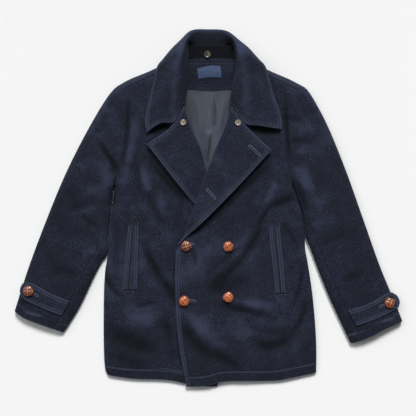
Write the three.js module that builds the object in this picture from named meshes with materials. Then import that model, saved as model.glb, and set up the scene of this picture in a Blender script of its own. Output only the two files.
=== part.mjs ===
// A double-breasted pea coat laid flat on its back. Millimetres, +Z up, the hem towards -Y.
// "right" and "left" are the wearer's: right has the negative X. The left front lies on the right one.
import * as THREE from "three";

// Driving sizes of the cloth
const MELTON = 2.5; // one layer of melton
const LAPEL = 4.4; // two layers of melton with canvas between them
const COLLAR = 3.4; // two layers, pressed
const LINING = 1;
const WELT = 2; // a pocket lip
const LABEL = 0.8;
const SEAM = 0.5; // gap between two pieces at a seam
const REST = 0.8; // gap between a piece and the panel that it lies on
const BODY_SIDE_Z = 6.5; // height of the side seam and of the shoulder fold above the table
const SLEEVE_SIDE_Z = 9; // height of a sleeve's folded edges
const SHOULDER_WRAP = 0.075; // share of the armhole between the shoulder fold and the shoulder seam
const ARMPIT_ROLL = 0.07; // share of the armhole that rolls down to the armpit
const OVERLAP_LIFT = 4; // the left front over the right one
const OVERLAP_DIP = 4.5; // how far the hidden part of the right front is pressed down
const LAPEL_LIFT = 5.6; // the left front over the end of the right lapel
const LAPEL_ROLL = 5; // radius of the fold on a lapel's roll line
const LAPEL_EDGE_RISE = 6.5; // how far a lapel's outer edge stands up
const NECK_RISE = 5; // the back's neck edge over the fall of the collar
const ROLL_HANG = 1.2; // how far a lapel's fold hangs below the front's upper face
const ARMPIT_END = 0.5; // share of a sleeve at which its inner fold has left the armpit
const ARM_BLEND = 0.18; // share of a sleeve over which it takes the height of the body
const ARMPIT_CROWD = 2.4; // how far a sleeve's rows crowd together on their way round the armpit
const LINING_GAP = 0.6; // gap under the thin pieces inside the neck
const BUTTON_RADIUS = 12.7; // 40 ligne
const BUTTON_HEIGHT = 9;
const SMALL_BUTTON_RADIUS = 7;
const SMALL_BUTTON_HEIGHT = 3;

// Finish of each kind of piece
const finish = (name, color, roughness) =>
  Object.assign(new THREE.MeshStandardMaterial({ color, roughness, metalness: 0 }), { name });
const melton = finish("melton", 0x22242f, 0.95);
const satin = finish("lining_satin", 0x48525e, 0.5);
const labelCloth = finish("label_cloth", 0x2b4468, 0.7);
const leather = finish("button_leather", 0x9a4a24, 0.45);
const horn = finish("horn", 0xc9a77f, 0.4);
const darkHorn = finish("dark_horn", 0x2a2420, 0.4);

// Tables: each row holds the values that the columns name
const table = (columns, rows) =>
  rows.map((row) => Object.fromEntries(columns.split(" ").map((name, i) => [name, row[i]])));

const OUTLINE = {
  right: {
    side: table("x y", [[-241, -400], [-247, -385], [-250.8, -240], [-247.4, -150], [-242.4, -118],
      [-239, -70], [-232.2, -5], [-228.3, 27], [-226.5, 50]]),
    armhole: table("x y", [[-221, 290], [-198, 268], [-191, 218], [-193, 150], [-204, 112], [-226.5, 54]]),
    sleeveOuter: table("x y", [[-221, 290], [-239, 269], [-280, 202], [-340, 86], [-388, -29], [-431, -144],
      [-464, -247]]),
    sleeveInner: table("x y", [[-226.5, 54], [-228, 46], [-230, 27], [-233.6, -5], [-240.4, -70],
      [-245, -111], [-254.5, -127], [-273.5, -163], [-308, -235], [-347, -298]]),
    cuff: table("x y", [[-464, -247], [-443, -262], [-414, -274], [-385, -284], [-347, -298]]),
  },
  left: {
    side: table("x y", [[258, -394], [258.5, -350], [257, -300], [249, -207], [236.5, -125], [231.6, -98],
      [231, -65], [227, -32], [221.8, -5], [215, 15.6], [208.4, 36], [204, 50]]),
    armhole: table("x y", [[232, 288], [200, 264], [188, 232], [184, 166], [189, 100], [204, 54]]),
    sleeveOuter: table("x y", [[232, 288], [246, 269], [282, 202], [330, 86], [371, -29], [412, -144],
      [452, -240], [464, -271]]),
    sleeveInner: table("x y", [[204, 54], [206.2, 47], [210.4, 36], [217.2, 15.6], [224, -5], [229.2, -32],
      [234, -65], [244, -98], [257.5, -135], [275, -180], [292, -221], [340, -324]]),
    cuff: table("x y", [[464, -271], [421, -290], [392, -305], [364, -317], [340, -324]]),
  },
};
// The hem, from the wearer's right side to the left; the back's hem lies just inside it
const BACK_HEM = table("x y", [[-241, -400], [-184, -405], [-97, -409], [24, -413], [104, -411], [191, -405],
  [258, -394]]);
const RIGHT_HEM = table("x y", [[-241, -400], [-184, -408], [-97, -412], [-62, -419], [-40, -425], [0, -428],
  [21, -427.5]]);
const LEFT_HEM = table("x y", [[258, -394], [191, -408], [162, -413], [52, -414], [28, -416], [6, -423],
  [-20, -426.5], [-53, -427.3]]);
// The shoulder folds and the neck edge of the back, from the wearer's right to the left
const SHOULDER_LINE = table("x y", [[-221, 290], [-191, 307], [-145, 326], [-100, 346], [-52, 358.5],
  [2, 359], [56, 358.5], [108, 346], [152, 326], [196, 307], [232, 288]]);
// The inner edge of each front, from the hem up: free edge, roll line, then under the collar to the neck
const FRONT_EDGE = {
  right: {
    low: table("x y", [[21, -427.5], [25, -400], [40, -250], [56, -84], [36, -10]]),
    high: table("x y", [[36, -10], [-12, 88], [-49, 193], [-67, 245], [-76, 285]]),
  },
  left: {
    low: table("x y", [[-53, -427.3], [-72, -317], [-80, -180], [-79, -131], [-75, -98], [-60, -79],
      [-43, -40], [-30, 0]]),
    high: table("x y", [[-30, 0], [3, 87], [47, 196], [62, 245], [74, 285]]),
  },
};
// Lapels: roll line and outer edge from the lower end up, and the edges that join them
const LAPELS = {
  right: {
    roll: table("x y", [[6, 60], [-5, 88], [-19, 142], [-42, 193], [-59, 244]]),
    edge: table("x y", [[-24, -4], [-35, 10], [-88, 76], [-146, 151]]),
    low: table("x y", [[6, 60], [-9, 28], [-24, -4]]),
    top: table("x y", [[-59, 244], [-63, 236], [-72, 218], [-84, 200], [-98, 184], [-125, 165.5],
      [-146, 151]]),
  },
  left: {
    roll: table("x y", [[-74, -87], [-60, -69], [-49, -35], [-22, 39], [17, 142], [40, 196], [54, 244]]),
    edge: table("x y", [[-70, -88.5], [-57, -73], [-20, -40], [60, 40], [150, 137]]),
    low: table("x y", [[-74, -87], [-70, -88.5]]),
    top: table("x y", [[54, 244], [63, 230], [76, 210.5], [88, 196], [120, 164], [150, 137]]),
  },
};
// Height of the fronts' upper face above the table, along the body
const BODY_HEIGHT = table("y z", [[-430, 10.5], [-330, 13], [-200, 16], [-60, 18], [60, 22], [150, 25],
  [250, 27.5], [330, 28]]);
// Height of a sleeve's upper face, by the share of its length from the armhole
const SLEEVE_HEIGHT = table("y z", [[0, 27], [0.3, 26], [0.6, 24], [0.85, 21], [1, 21.5]]);
// Where the left front's edge and roll line cross the right front: z is the x of that line
const LEFT_EDGE = table("y z", [[-430, -55], [-320, -72], [-180, -80], [-86, -72], [0, -34], [88, 2],
  [250, 66]]);
// Where a sleeve's front seam lies across it, as a share of the width, by the share of its length
const FRONT_SEAM = table("y z", [[0, 1 - ARMPIT_ROLL], [0.12, 0.95], [0.36, 0.95], [0.46, 0.92], [0.52, 0.87],
  [0.6, 0.83], [0.75, 0.82], [1, 0.81]]);
// The largest folds: a line through three points, its rise above the cloth and its half width
const FOLDS = table("x1 y1 x2 y2 x3 y3 rise half", [
  [-193, 259, -190, 200, -188, 139, -3, 10],
  [-169, 103, -166, 60, -165, 19, -2.5, 11],
  [-140, 70, -138, 25, -135, -20, 3, 13],
  [-155, -89, -121, -161, -80, -209, -3, 12],
  [-248, -149, -230, -190, -208, -220, -3, 12],
  [-236, -269, -176, -300, -116, -329, -3, 18],
  [-140, -245, -122, -262, -104, -281, 2.5, 16],
  [-212, -329, -182, -350, -152, -365, 2, 16],
  [184, 259, 180, 160, 182, 67, -3, 10],
  [190, 91, 215, 7, 226, -53, -3.5, 12],
  [136, 31, 160, 8, 184, -17, -3, 14],
  [148, 62, 162, 42, 178, 19, 3, 12],
  [128, -5, 90, -110, -20, -202, -4, 13],
  [76, -35, 90, -52, 104, -70, 3, 13],
  [-52, -173, -20, -149, 28, -120, -2.5, 12],
  [-68, -233, -20, -293, 40, -365, -3, 13],
  [-8, -245, 52, -252, 112, -257, -3, 15],
  [100, -317, 172, -329, 220, -293, -3.5, 14],
  [232, -113, 227, -161, 200, -233, -4, 12],
  [-260, 151, -238, 120, -219, 86, -4, 13],
  [-356, -17, -308, -45, -262, -80, 3, 16],
  [-370, -110, -344, -137, -320, -160, -3, 13],
  [224, 175, 238, 164, 252, 150, -3, 12],
  [372, -60, 330, -85, 285, -110, 3, 16],
  [385, -135, 350, -160, 310, -190, -3, 13],
]);

// Small sums
const clamp = THREE.MathUtils.clamp;
const mix = THREE.MathUtils.lerp;
const smooth = (from, to, x) => THREE.MathUtils.smoothstep(x, from, to);
const radians = THREE.MathUtils.degToRad;
const span = (from, to, steps) => Array.from({ length: steps + 1 }, (_, i) => mix(from, to, i / steps));

// A smooth line through a table's points, as a function of the share of its length
function line(points) {
  const curve = new THREE.CatmullRomCurve3(points.map((p) => new THREE.Vector3(p.x, p.y, p.z ?? 0)));
  curve.curveType = "centripetal";
  return (share) => curve.getPointAt(clamp(share, 0, 1));
}

// Two lines one after the other, which meet at a share of the whole
const chain = (first, second, meet) => (share) =>
  share < meet ? first(share / meet) : second((share - meet) / (1 - meet));

// A level read between the rows of a table, eased from row to row
function level(rows, at) {
  const next = rows.findIndex((row) => row.y >= at);
  if (next <= 0) return next === 0 ? rows[0].z : rows.at(-1).z;
  const [a, b] = [rows[next - 1], rows[next]];
  return mix(a.z, b.z, (at - a.y) / (b.y - a.y));
}

// A patch between four edges, seen from above: u runs along low and high, v along start and end
function patch(low, high, start, end) {
  const corner = [low(0), low(1), high(0), high(1)];
  return (u, v) => {
    const sum = (key) =>
      mix(low(u)[key], high(u)[key], v) + mix(start(v)[key], end(v)[key], u) -
      mix(mix(corner[0][key], corner[1][key], u), mix(corner[2][key], corner[3][key], u), v);
    return new THREE.Vector3(sum("x"), sum("y"), 0);
  };
}

// The distance from a point to the straight line between two others, seen from above
function gapToSegment(x, y, x1, y1, x2, y2) {
  const way = (x - x1) * (x2 - x1) + (y - y1) * (y2 - y1);
  const along = clamp(way / ((x2 - x1) ** 2 + (y2 - y1) ** 2), 0, 1);
  return Math.hypot(x - mix(x1, x2, along), y - mix(y1, y2, along));
}

// What a table of folds adds to the height of the cloth at a point
function strokes(rows, x, y) {
  return rows.reduce((sum, f) => {
    const first = gapToSegment(x, y, f.x1, f.y1, f.x2, f.y2);
    const second = gapToSegment(x, y, f.x2, f.y2, f.x3, f.y3);
    return sum + f.rise * Math.exp(-((Math.min(first, second) / f.half) ** 2));
  }, 0);
}
const foldsAt = (x, y) => strokes(FOLDS, x, y);

// The upper face of the right front, pressed down and smooth under the left one
const bodyTop = (x, y) => level(BODY_HEIGHT, y) + foldsAt(x, y);
function rightTop(x, y) {
  const edge = level(LEFT_EDGE, y);
  const hidden = smooth(edge - 15, edge + 25, x);
  return level(BODY_HEIGHT, y) + foldsAt(x, y) * (1 - hidden) - OVERLAP_DIP * hidden;
}

// The upper face of the left front, which lies on the right one and on the end of its lapel
const lapelEndLift = (x, y) => LAPEL_LIFT * (1 - smooth(20, 55, gapToSegment(x, y, -8, 75, -34, -4)));
const leftTop = (x, y) => bodyTop(x, y) + OVERLAP_LIFT * (1 - smooth(75, 160, x)) + lapelEndLift(x, y);

// A closed wall between two grids of points with the same rows and columns
function wall(outer, inner) {
  const rows = outer.length;
  const columns = outer[0].length;
  const points = [...outer.flat(), ...inner.flat()];
  const index = [];
  const at = (row, column, side) => side * rows * columns + row * columns + column;
  const quad = (a, b, c, d) => index.push(a, b, c, a, c, d);
  for (let i = 0; i < rows - 1; i++) {
    for (let j = 0; j < columns - 1; j++) {
      quad(at(i, j, 0), at(i, j + 1, 0), at(i + 1, j + 1, 0), at(i + 1, j, 0));
      quad(at(i, j, 1), at(i + 1, j, 1), at(i + 1, j + 1, 1), at(i, j + 1, 1));
    }
    quad(at(i, 0, 0), at(i + 1, 0, 0), at(i + 1, 0, 1), at(i, 0, 1));
    quad(at(i, columns - 1, 0), at(i, columns - 1, 1), at(i + 1, columns - 1, 1), at(i + 1, columns - 1, 0));
  }
  for (let j = 0; j < columns - 1; j++) {
    quad(at(0, j, 0), at(0, j, 1), at(0, j + 1, 1), at(0, j + 1, 0));
    quad(at(rows - 1, j, 0), at(rows - 1, j + 1, 0), at(rows - 1, j + 1, 1), at(rows - 1, j, 1));
  }
  let volume = 0;
  for (let i = 0; i < index.length; i += 3) {
    const [a, b, c] = [points[index[i]], points[index[i + 1]], points[index[i + 2]]];
    volume += a.dot(b.clone().cross(c));
  }
  if (volume < 0) index.reverse();
  const geometry = new THREE.BufferGeometry().setFromPoints(points);
  geometry.setIndex(index);
  geometry.computeVertexNormals();
  return geometry;
}

// A wall from rows of { point, inward }: inward is the way through the cloth
function clothWall(grid, thickness) {
  const outer = grid.map((row) => row.map((p) => p.point));
  const inner = grid.map((row) => row.map((p) => p.point.clone().addScaledVector(p.inward, thickness)));
  return wall(outer, inner);
}

const coat = new THREE.Group();
coat.name = "pea_coat";
function add(name, geometry, material) {
  const mesh = new THREE.Mesh(geometry, material);
  mesh.name = name;
  coat.add(mesh);
  return mesh;
}

// How a wall turns round an edge: -90 lies on the table, 0 is the edge itself, 90 is the upper face
const TURN = [0, 30, 60, 90];
const rollShare = (angle) => 1 - Math.cos(radians(angle));
function turned(point, angle, side, top, across) {
  const sine = Math.sin(radians(angle));
  point.z = sine < 0 ? side * (1 + sine) : mix(side, top, sine);
  const inward = across.clone().normalize().multiplyScalar(Math.cos(radians(angle)));
  inward.z = -sine;
  return { point, inward };
}

// Shares of the armhole at which body and sleeves meet, from the shoulder fold to the armpit
const ARMPIT_SHARES = TURN.map((angle) => 1 - ARMPIT_ROLL * rollShare(angle)).reverse();
const ARM_SHARES = span(SHOULDER_WRAP, 1 - ARMPIT_ROLL, 8);
const armpitTurn = (share) =>
  share <= 1 - ARMPIT_ROLL ? 90 : Math.acos(1 - (1 - share) / ARMPIT_ROLL) / radians(1);
const ARMPIT_AT = 0.62; // share of the body's height at which the armpit is

const SIDES = ["right", "left"];
const outward = { right: -1, left: 1 };
const lines = {};
for (const side of SIDES) {
  lines[side] = Object.fromEntries(Object.entries(OUTLINE[side]).map(([name, rows]) => [name, line(rows)]));
}

// The back, seen from above: u from the wearer's right to the left, v from the hem to the shoulder folds
const bodySide = (side, lowest) =>
  chain(lines[side].side, (share) => lines[side].armhole(mix(1, lowest, share)), ARMPIT_AT);
const backPlan = patch(line(BACK_HEM), line(SHOULDER_LINE), bodySide("right", 0), bodySide("left", 0));
const backRow = (armShare) => mix(ARMPIT_AT, 1, 1 - armShare);
const shoulderShare = (x) => smooth(66, 86, Math.abs(x - 6));
const backRise = (x, y) => NECK_RISE * smooth(295, 335, y) * (1 - shoulderShare(x));

// Columns of the back from one side seam to where the front meets the neck
const NECK_SHARE = 0.31;
const BACK_ROLL = 0.03; // share of the width that rolls up to each side seam
const NECK_COLUMNS = [0.37, 0.5, 0.63];
const NECK_TURN_SHARE = 0.03; // how far below the top edge its turn looks for its direction
const SHOULDER_SHARES = [
  ...TURN.map((turn) => BACK_ROLL * rollShare(turn)),
  ...span(BACK_ROLL, NECK_SHARE, 5).slice(1),
];

function backPanel() {
  const columns = [
    ...SHOULDER_SHARES.map((u, i) => ({ u, turn: TURN[i] ?? 90, way: 1 })),
    ...NECK_COLUMNS.map((u) => ({ u, turn: 90, way: 1 })),
    ...SHOULDER_SHARES.map((u, i) => ({ u: 1 - u, turn: TURN[i] ?? 90, way: -1 })).reverse(),
  ];
  const low = span(0, ARMPIT_AT, 8).slice(0, -1).map((v) => ({ v, edge: 0 }));
  const arm = [...ARM_SHARES, ...ARMPIT_SHARES.slice(1)].reverse()
    .map((share) => ({ v: backRow(share), edge: armpitTurn(share) }));
  const across = (column, v) => backPlan(column.u + 0.01 * column.way, v).sub(backPlan(column.u, v));
  const grid = [...low, ...arm].map(({ v, edge }) => columns.map((column) => {
    const p = backPlan(column.u, v);
    const angle = -(90 - (90 - column.turn) * (1 - edge / 90));
    const made = turned(p, angle, BODY_SIDE_Z - SEAM / 2, 0, across(column, v));
    made.point.z += backRise(p.x, p.y);
    return made;
  }));
  // Over the shoulder fold to the front; at the neck the same rows lie flat
  const wrap = [-60, -30, 0, 30, 60, 90];
  wrap.forEach((angle, i) => {
    const share = SHOULDER_WRAP * rollShare(Math.abs(angle));
    grid.push(columns.map(({ u }) => {
      const shoulder = shoulderShare(backPlan(u, 1).x);
      const flat = backPlan(u, mix(backRow(SHOULDER_WRAP), 1, (i + 1) / wrap.length));
      const p = flat.lerp(backPlan(u, backRow(share)), shoulder);
      const down = backPlan(u, 1 - NECK_TURN_SHARE).sub(backPlan(u, 1));
      const made = turned(p, mix(-90, angle, shoulder), BODY_SIDE_Z, bodyTop(p.x, p.y), down);
      made.point.z += backRise(p.x, p.y);
      return made;
    }));
  });
  return grid;
}

// A front, seen from above: u from the side to the inner edge, v from the hem to the shoulder seam
function frontPanel(side, hem, top) {
  const seamPoints = SHOULDER_SHARES.map((u) => {
    const p = backPlan(side === "right" ? u : 1 - u, backRow(SHOULDER_WRAP));
    return new THREE.Vector3(p.x, p.y - SEAM, 0);
  });
  const seam = (share) => {
    const along = share * NECK_SHARE;
    const i = clamp(SHOULDER_SHARES.findIndex((u) => u > along), 1, SHOULDER_SHARES.length - 1);
    const [from, to] = [SHOULDER_SHARES[i - 1], SHOULDER_SHARES[i]];
    if (share >= 1) return seamPoints.at(-1);
    return seamPoints[i - 1].clone().lerp(seamPoints[i], (along - from) / (to - from));
  };
  const edge = FRONT_EDGE[side];
  const inner = chain(line(edge.low), line([...edge.high, seam(1)]), ARMPIT_AT);
  const plan = patch(line(hem), seam, bodySide(side, SHOULDER_WRAP), inner);
  const roll = 0.05; // share of the width that rolls down to the side seam
  const columns = [
    ...TURN.map((turn) => ({ u: roll * rollShare(turn), turn })),
    ...span(roll, 1, 10).slice(1).map((u) => ({ u, turn: 90 })),
  ];
  const frontRow = (share) => mix(1, ARMPIT_AT, (share - SHOULDER_WRAP) / (1 - SHOULDER_WRAP));
  const rows = [
    ...span(0, ARMPIT_AT, 15).slice(0, -1).map((v) => ({ v, edge: 0 })),
    ...[...ARM_SHARES, ...ARMPIT_SHARES.slice(1)].reverse()
      .map((share) => ({ v: frontRow(share), edge: armpitTurn(share) })),
  ];
  const across = new THREE.Vector3(-outward[side], 0, 0);
  return rows.map((row) => columns.map(({ u, turn }) => {
    const p = plan(u, row.v);
    const angle = 90 - (90 - turn) * (1 - row.edge / 90);
    return turned(p, angle, BODY_SIDE_Z + SEAM / 2, top(p.x, p.y), across);
  }));
}

// A sleeve, seen from above: u from its outer fold to its inner one, v from the armhole to the cuff
function sleevePlan(side) {
  const { armhole, cuff, sleeveOuter, sleeveInner } = lines[side];
  const joined = patch(armhole, cuff, sleeveOuter, (share) => sleeveInner(share ** ARMPIT_CROWD));
  const gap = (v) => outward[side] * SEAM * (1 - smooth(ARM_BLEND, ARMPIT_END, v));
  const plan = (u, v) => joined(u, v).add(new THREE.Vector3(gap(v), 0, 0));
  return (u, v, angle, way) => {
    const p = plan(u, v);
    const along = plan(u, Math.min(v + 0.01, 1)).sub(plan(u, Math.max(v - 0.01, 0)));
    const square = new THREE.Vector3(along.y, -along.x, 0).multiplyScalar(outward[side] * way).normalize();
    const sideways = new THREE.Vector3(outward[side], 0, 0);
    const across = way < 0 ? sideways.lerp(square, smooth(0.1, ARMPIT_END, v)) : square;
    const own = level(SLEEVE_HEIGHT, v) * (0.8 + 0.2 * Math.sin(Math.PI * u)) + foldsAt(p.x, p.y);
    const top = mix(bodyTop(p.x, p.y), own, smooth(0, ARM_BLEND, v));
    const edge = mix(BODY_SIDE_Z, SLEEVE_SIDE_Z, smooth(0, ARM_BLEND, v));
    return turned(p, angle, edge, top, across);
  };
}

const SLEEVE_ROWS = [0, 0.05, ...span(0.12, 1, 11)];
const HIND_SEAM = ARM_SHARES[1]; // on the underside, near the outer fold
const seamShare = SEAM / 2 / 150; // half a seam gap as a share of a sleeve's width

function sleeveTop(side) {
  const at = sleevePlan(side);
  return SLEEVE_ROWS.map((v) => {
    const end = level(FRONT_SEAM, v) - seamShare;
    return [
      at(HIND_SEAM - seamShare, v, -90, 1),
      ...TURN.slice(1).reverse().map((turn) => at(SHOULDER_WRAP * rollShare(turn), v, -turn, 1)),
      ...TURN.map((turn) => at(SHOULDER_WRAP * rollShare(turn), v, turn, 1)),
      ...span(SHOULDER_WRAP, end, 8).slice(1).map((u) => at(u, v, 90, 1)),
    ];
  });
}

function sleeveUnder(side) {
  const at = sleevePlan(side);
  return SLEEVE_ROWS.map((v) => {
    const start = level(FRONT_SEAM, v) + seamShare;
    const roll = 1 - start; // the upper face rolls down from the seam to the inner fold
    return [
      at(HIND_SEAM + seamShare, v, -90, 1),
      ...ARM_SHARES.slice(2).map((u) => at(u, v, -90, -1)),
      ...TURN.slice(0, -1).reverse().map((turn) => at(1 - ARMPIT_ROLL * rollShare(turn), v, -turn, -1)),
      ...TURN.slice(1).map((turn) => at(1 - roll * rollShare(turn), v, turn, -1)),
    ];
  });
}

const outerGrids = {};
function addCloth(name, grid, thickness, material = melton) {
  outerGrids[name] = grid.map((row) => row.map((p) => p.point));
  return add(name, clothWall(grid, thickness), material);
}

addCloth("back", backPanel(), MELTON);
addCloth("front_right", frontPanel("right", RIGHT_HEM, rightTop), MELTON);
addCloth("front_left", frontPanel("left", LEFT_HEM, leftTop), MELTON);
for (const side of SIDES) {
  addCloth("sleeve_top_" + side, sleeveTop(side), MELTON);
  addCloth("sleeve_under_" + side, sleeveUnder(side), MELTON);
}

// The height of a panel's own facets under a point, and the highest of them within reach of it
function faceHeight(name, x, y) {
  const grid = outerGrids[name];
  let height = -Infinity;
  const inTriangle = (a, b, c) => {
    const area = (b.x - a.x) * (c.y - a.y) - (c.x - a.x) * (b.y - a.y);
    if (Math.abs(area) < 1e-9) return;
    const s = ((b.x - x) * (c.y - y) - (c.x - x) * (b.y - y)) / area;
    const t = ((c.x - x) * (a.y - y) - (a.x - x) * (c.y - y)) / area;
    if (s >= 0 && t >= 0 && s + t <= 1) height = Math.max(height, s * a.z + t * b.z + (1 - s - t) * c.z);
  };
  for (let i = 0; i < grid.length - 1; i++) {
    for (let j = 0; j < grid[i].length - 1; j++) {
      inTriangle(grid[i][j], grid[i][j + 1], grid[i + 1][j + 1]);
      inTriangle(grid[i][j], grid[i + 1][j + 1], grid[i + 1][j]);
    }
  }
  return height;
}

function clearHeight(name, x, y, reach) {
  let height = faceHeight(name, x, y);
  for (let turn = 0; turn < 360; turn += 45) {
    const [dx, dy] = [Math.cos(radians(turn)) * reach, Math.sin(radians(turn)) * reach];
    height = Math.max(height, faceHeight(name, x + dx, y + dy));
  }
  return Number.isFinite(height) ? height : clearHeight(name, x, y, 2 * reach);
}

// A lapel: turned out on the roll line, its outer edge standing up a little from the front
function lapel(side) {
  const { roll, edge, low, top } = LAPELS[side];
  const plan = patch(line(low), line(top), line(roll), line(edge));
  const under = side === "right";
  return span(0, 1, 12).map((v) => {
    const width = plan(1, v).distanceTo(plan(0, v));
    const fold = Math.min(LAPEL_ROLL / width, 0.5);
    const stations = [
      ...TURN.map((turn) => ({ u: fold * rollShare(turn), turn })),
      ...span(fold, 1, 6).slice(1).map((u) => ({ u, turn: 90 })),
    ];
    const risen = LAPEL_EDGE_RISE * smooth(under ? 0.05 : 0, under ? 0.4 : 0.25, v);
    return stations.map(({ u, turn }) => {
      const p = plan(u, v);
      const front = clearHeight("front_" + side, p.x, p.y, 12);
      const face = front + REST + LAPEL + risen * u ** 1.6;
      return turned(p, turn, front - ROLL_HANG, face, plan(1, v).sub(plan(0, v)));
    });
  });
}

// The collar from the wearer's right front to the left: neck edge, roll, upper and lower part of the
// leaf, free edge. The first and the last section are the seams with the lapels.
const COLLAR_SECTIONS = table("nx ny nz rx ry rz gx gy gz mx my mz ex ey ez", [
  [-57, 246, 26, -61, 246, 33, -82, 203.5, 36, -113, 200.5, 39, -147.5, 179, 38],
  [-55, 258, 22, -63, 259, 38, -84, 232, 40, -110, 223, 40, -150.5, 202, 36],
  [-51, 280, 17, -66, 284, 43, -88, 267, 43.5, -110, 256, 42, -147, 234, 35],
  [-48, 304, 14, -67, 310, 47, -88, 302, 46, -107, 287, 43, -141.5, 258, 34],
  [-47, 335, 12, -66.5, 343, 51, -84, 340, 48, -101, 331, 43, -130.5, 299, 36],
  [-47, 366, 11, -61, 371, 49, -79, 369, 47, -96, 362, 42, -121.5, 338, 33],
  [-46, 388.5, 11, -52, 398, 40, -70, 394, 32, -84, 384, 20, -102, 354, 3.5],
  [-30, 388.5, 10.5, -34, 421, 20, -42, 424, 14, -48, 416, 8, -62, 352, 0],
  [0, 388.5, 10, -1, 421, 15, -1, 427.6, 10.5, -1, 424, 4, 2, 348, 0],
  [34, 388.5, 10.5, 37, 420, 20, 44, 423, 14, 50, 415, 8, 66, 352, 0],
  [56, 388.5, 11, 60, 398, 40, 76, 395, 32, 91, 386, 20, 110, 354, 3.5],
  [61, 366, 11, 69, 371, 49, 88, 370, 47, 106, 362, 42, 134, 339, 33],
  [61, 335, 12, 71.5, 343, 51, 90, 341, 48, 109, 332, 43, 145, 305, 37],
  [57, 304, 14, 68, 308, 47, 90, 302, 46, 113, 290, 43, 156, 267, 34],
  [54, 280, 17, 63, 285, 43, 87, 274, 44, 114, 260, 42, 166, 240, 35],
  [51, 258, 22, 58, 259, 38, 84, 232, 40, 114, 222, 40, 174.5, 205, 36],
  [50, 246, 26, 55, 246, 33, 86, 200.5, 36, 122, 194.5, 39, 172.5, 187, 38],
]);

function collarGrid() {
  const stations = span(0, 1, 11);
  const sections = COLLAR_SECTIONS.map((s) => {
    const across = line([..."nrgme"].map((k) => ({ x: s[k + "x"], y: s[k + "y"], z: s[k + "z"] })));
    return stations.map((share) => across(share).clone());
  });
  const along = stations.map((_, j) => {
    const curve = new THREE.CatmullRomCurve3(sections.map((section) => section[j]));
    curve.curveType = "centripetal";
    return curve;
  });
  const grid = span(0, 1, 30).map((share) => along.map((curve) => {
    const p = curve.getPoint(share);
    p.z = Math.max(p.z, 0);
    return p;
  }));
  const last = { row: grid.length - 1, column: stations.length - 1 };
  return grid.map((row, i) => row.map((point, j) => {
    const down = grid[Math.min(i + 1, last.row)][j].clone().sub(grid[Math.max(i - 1, 0)][j]);
    const across = row[Math.min(j + 1, last.column)].clone().sub(row[Math.max(j - 1, 0)]);
    return { point, inward: across.cross(down).normalize() };
  }));
}

// A flat piece between four edges, at a height that a function gives
function flatPiece(edges, steps, height) {
  const plan = patch(...edges.map((rows) => line(table("x y", rows))));
  return span(0, 1, steps.v).map((v) => span(0, 1, steps.u).map((u) => {
    const point = plan(u, v);
    point.z = height(point.x, point.y, u, v);
    return { point, inward: new THREE.Vector3(0, 0, -1) };
  }));
}

for (const side of SIDES) addCloth("lapel_" + side, lapel(side), LAPEL);
addCloth("collar", collarGrid(), COLLAR);

// Inside the neck: the band of the collar, the facing and the lining of the back, and the bare label
const BAND = COLLAR - LINING_GAP;
const bandFloor = (x, y) => 7.2 + 0.08 * (y - 359) + 5 * smooth(38, 62, Math.abs(x - 7));
addCloth("collar_stand", flatPiece([
  [[-45, 359.8], [7, 359.8], [58.5, 359.8]],
  [[-43.5, 387.7], [7, 387.7], [54, 387.7]],
  [[-45, 359.8], [-43.5, 387.7]],
  [[58.5, 359.8], [54, 387.7]],
], { u: 8, v: 3 }, (x, y) => bandFloor(x, y) + BAND), BAND);
const FACING = MELTON / 2;
const facingTop = (x, y) => MELTON + NECK_RISE * smooth(288, 328, y) + LINING_GAP + FACING;
addCloth("back_neck_facing", flatPiece([
  [[-52, 283], [0, 280], [53, 282]],
  [[-52, 358], [7, 359], [58, 358]],
  [[-52, 283], [-52, 358]],
  [[53, 282], [58, 358]],
], { u: 6, v: 6 }, facingTop), FACING);
addCloth("label", flatPiece([
  [[-24.6, 308.4], [3.6, 312.5], [31.2, 312]],
  [[-27, 333.6], [7.2, 340.5], [28.8, 339]],
  [[-24.6, 308.4], [-27, 333.6]],
  [[31.2, 312], [28.8, 339]],
], { u: 4, v: 2 }, (x, y) => facingTop(x, y) + LINING_GAP + LABEL), LABEL, labelCloth);
// The lining's pleat and folds: three points, rise and half width
const PLEATS = table("x1 y1 x2 y2 x3 y3 rise half", [
  [5, 282, 14, 215, 4, 195, 4, 6],
  [4, 195, 0, 165, -4, 120, 3, 7],
  [-30, 270, -22, 215, -12, 170, 2, 7],
  [38, 270, 30, 215, 20, 170, 2, 7],
]);
const liningTop = (x, y) => MELTON + LINING_GAP + LINING + strokes(PLEATS, x, y);
addCloth("lining_back", flatPiece([
  [[-30, 52], [0, 46], [30, 52]],
  [[-72, 281.5], [-43, 282.2], [0, 279.2], [42, 281.2], [74, 281.5]],
  [[-30, 52], [-55, 160], [-72, 281.5]],
  [[30, 52], [56, 160], [74, 281.5]],
], { u: 12, v: 6 }, liningTop), LINING, satin);

// Pocket lips: four corners each, from the slit outwards, on the front
const WELTS = table("name side x1 y1 x2 y2 x3 y3 x4 y4", [
  ["pocket_right_outer", "right", -180.5, -43, -193.5, -194, -191, -40, -206, -194],
  ["pocket_right_inner", "right", -179.3, -43, -192.3, -194, -167, -40, -168, -190],
  ["pocket_left_inner", "left", 157.5, -46, 171.5, -203, 143, -44, 162, -205],
  ["pocket_left_outer", "left", 158.7, -46, 172.7, -203, 170, -44, 183, -203],
]);
for (const w of WELTS) {
  const low = [[w.x1, w.y1], [w.x3, w.y3]];
  const high = [[w.x2, w.y2], [w.x4, w.y4]];
  const slit = [[w.x1, w.y1], [w.x2, w.y2]];
  const far = [[w.x3, w.y3], [w.x4, w.y4]];
  addCloth(w.name, flatPiece([low, high, slit, far], { u: 2, v: 8 },
    (x, y) => clearHeight("front_" + w.side, x, y, 9) + REST + WELT), WELT);
}

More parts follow.
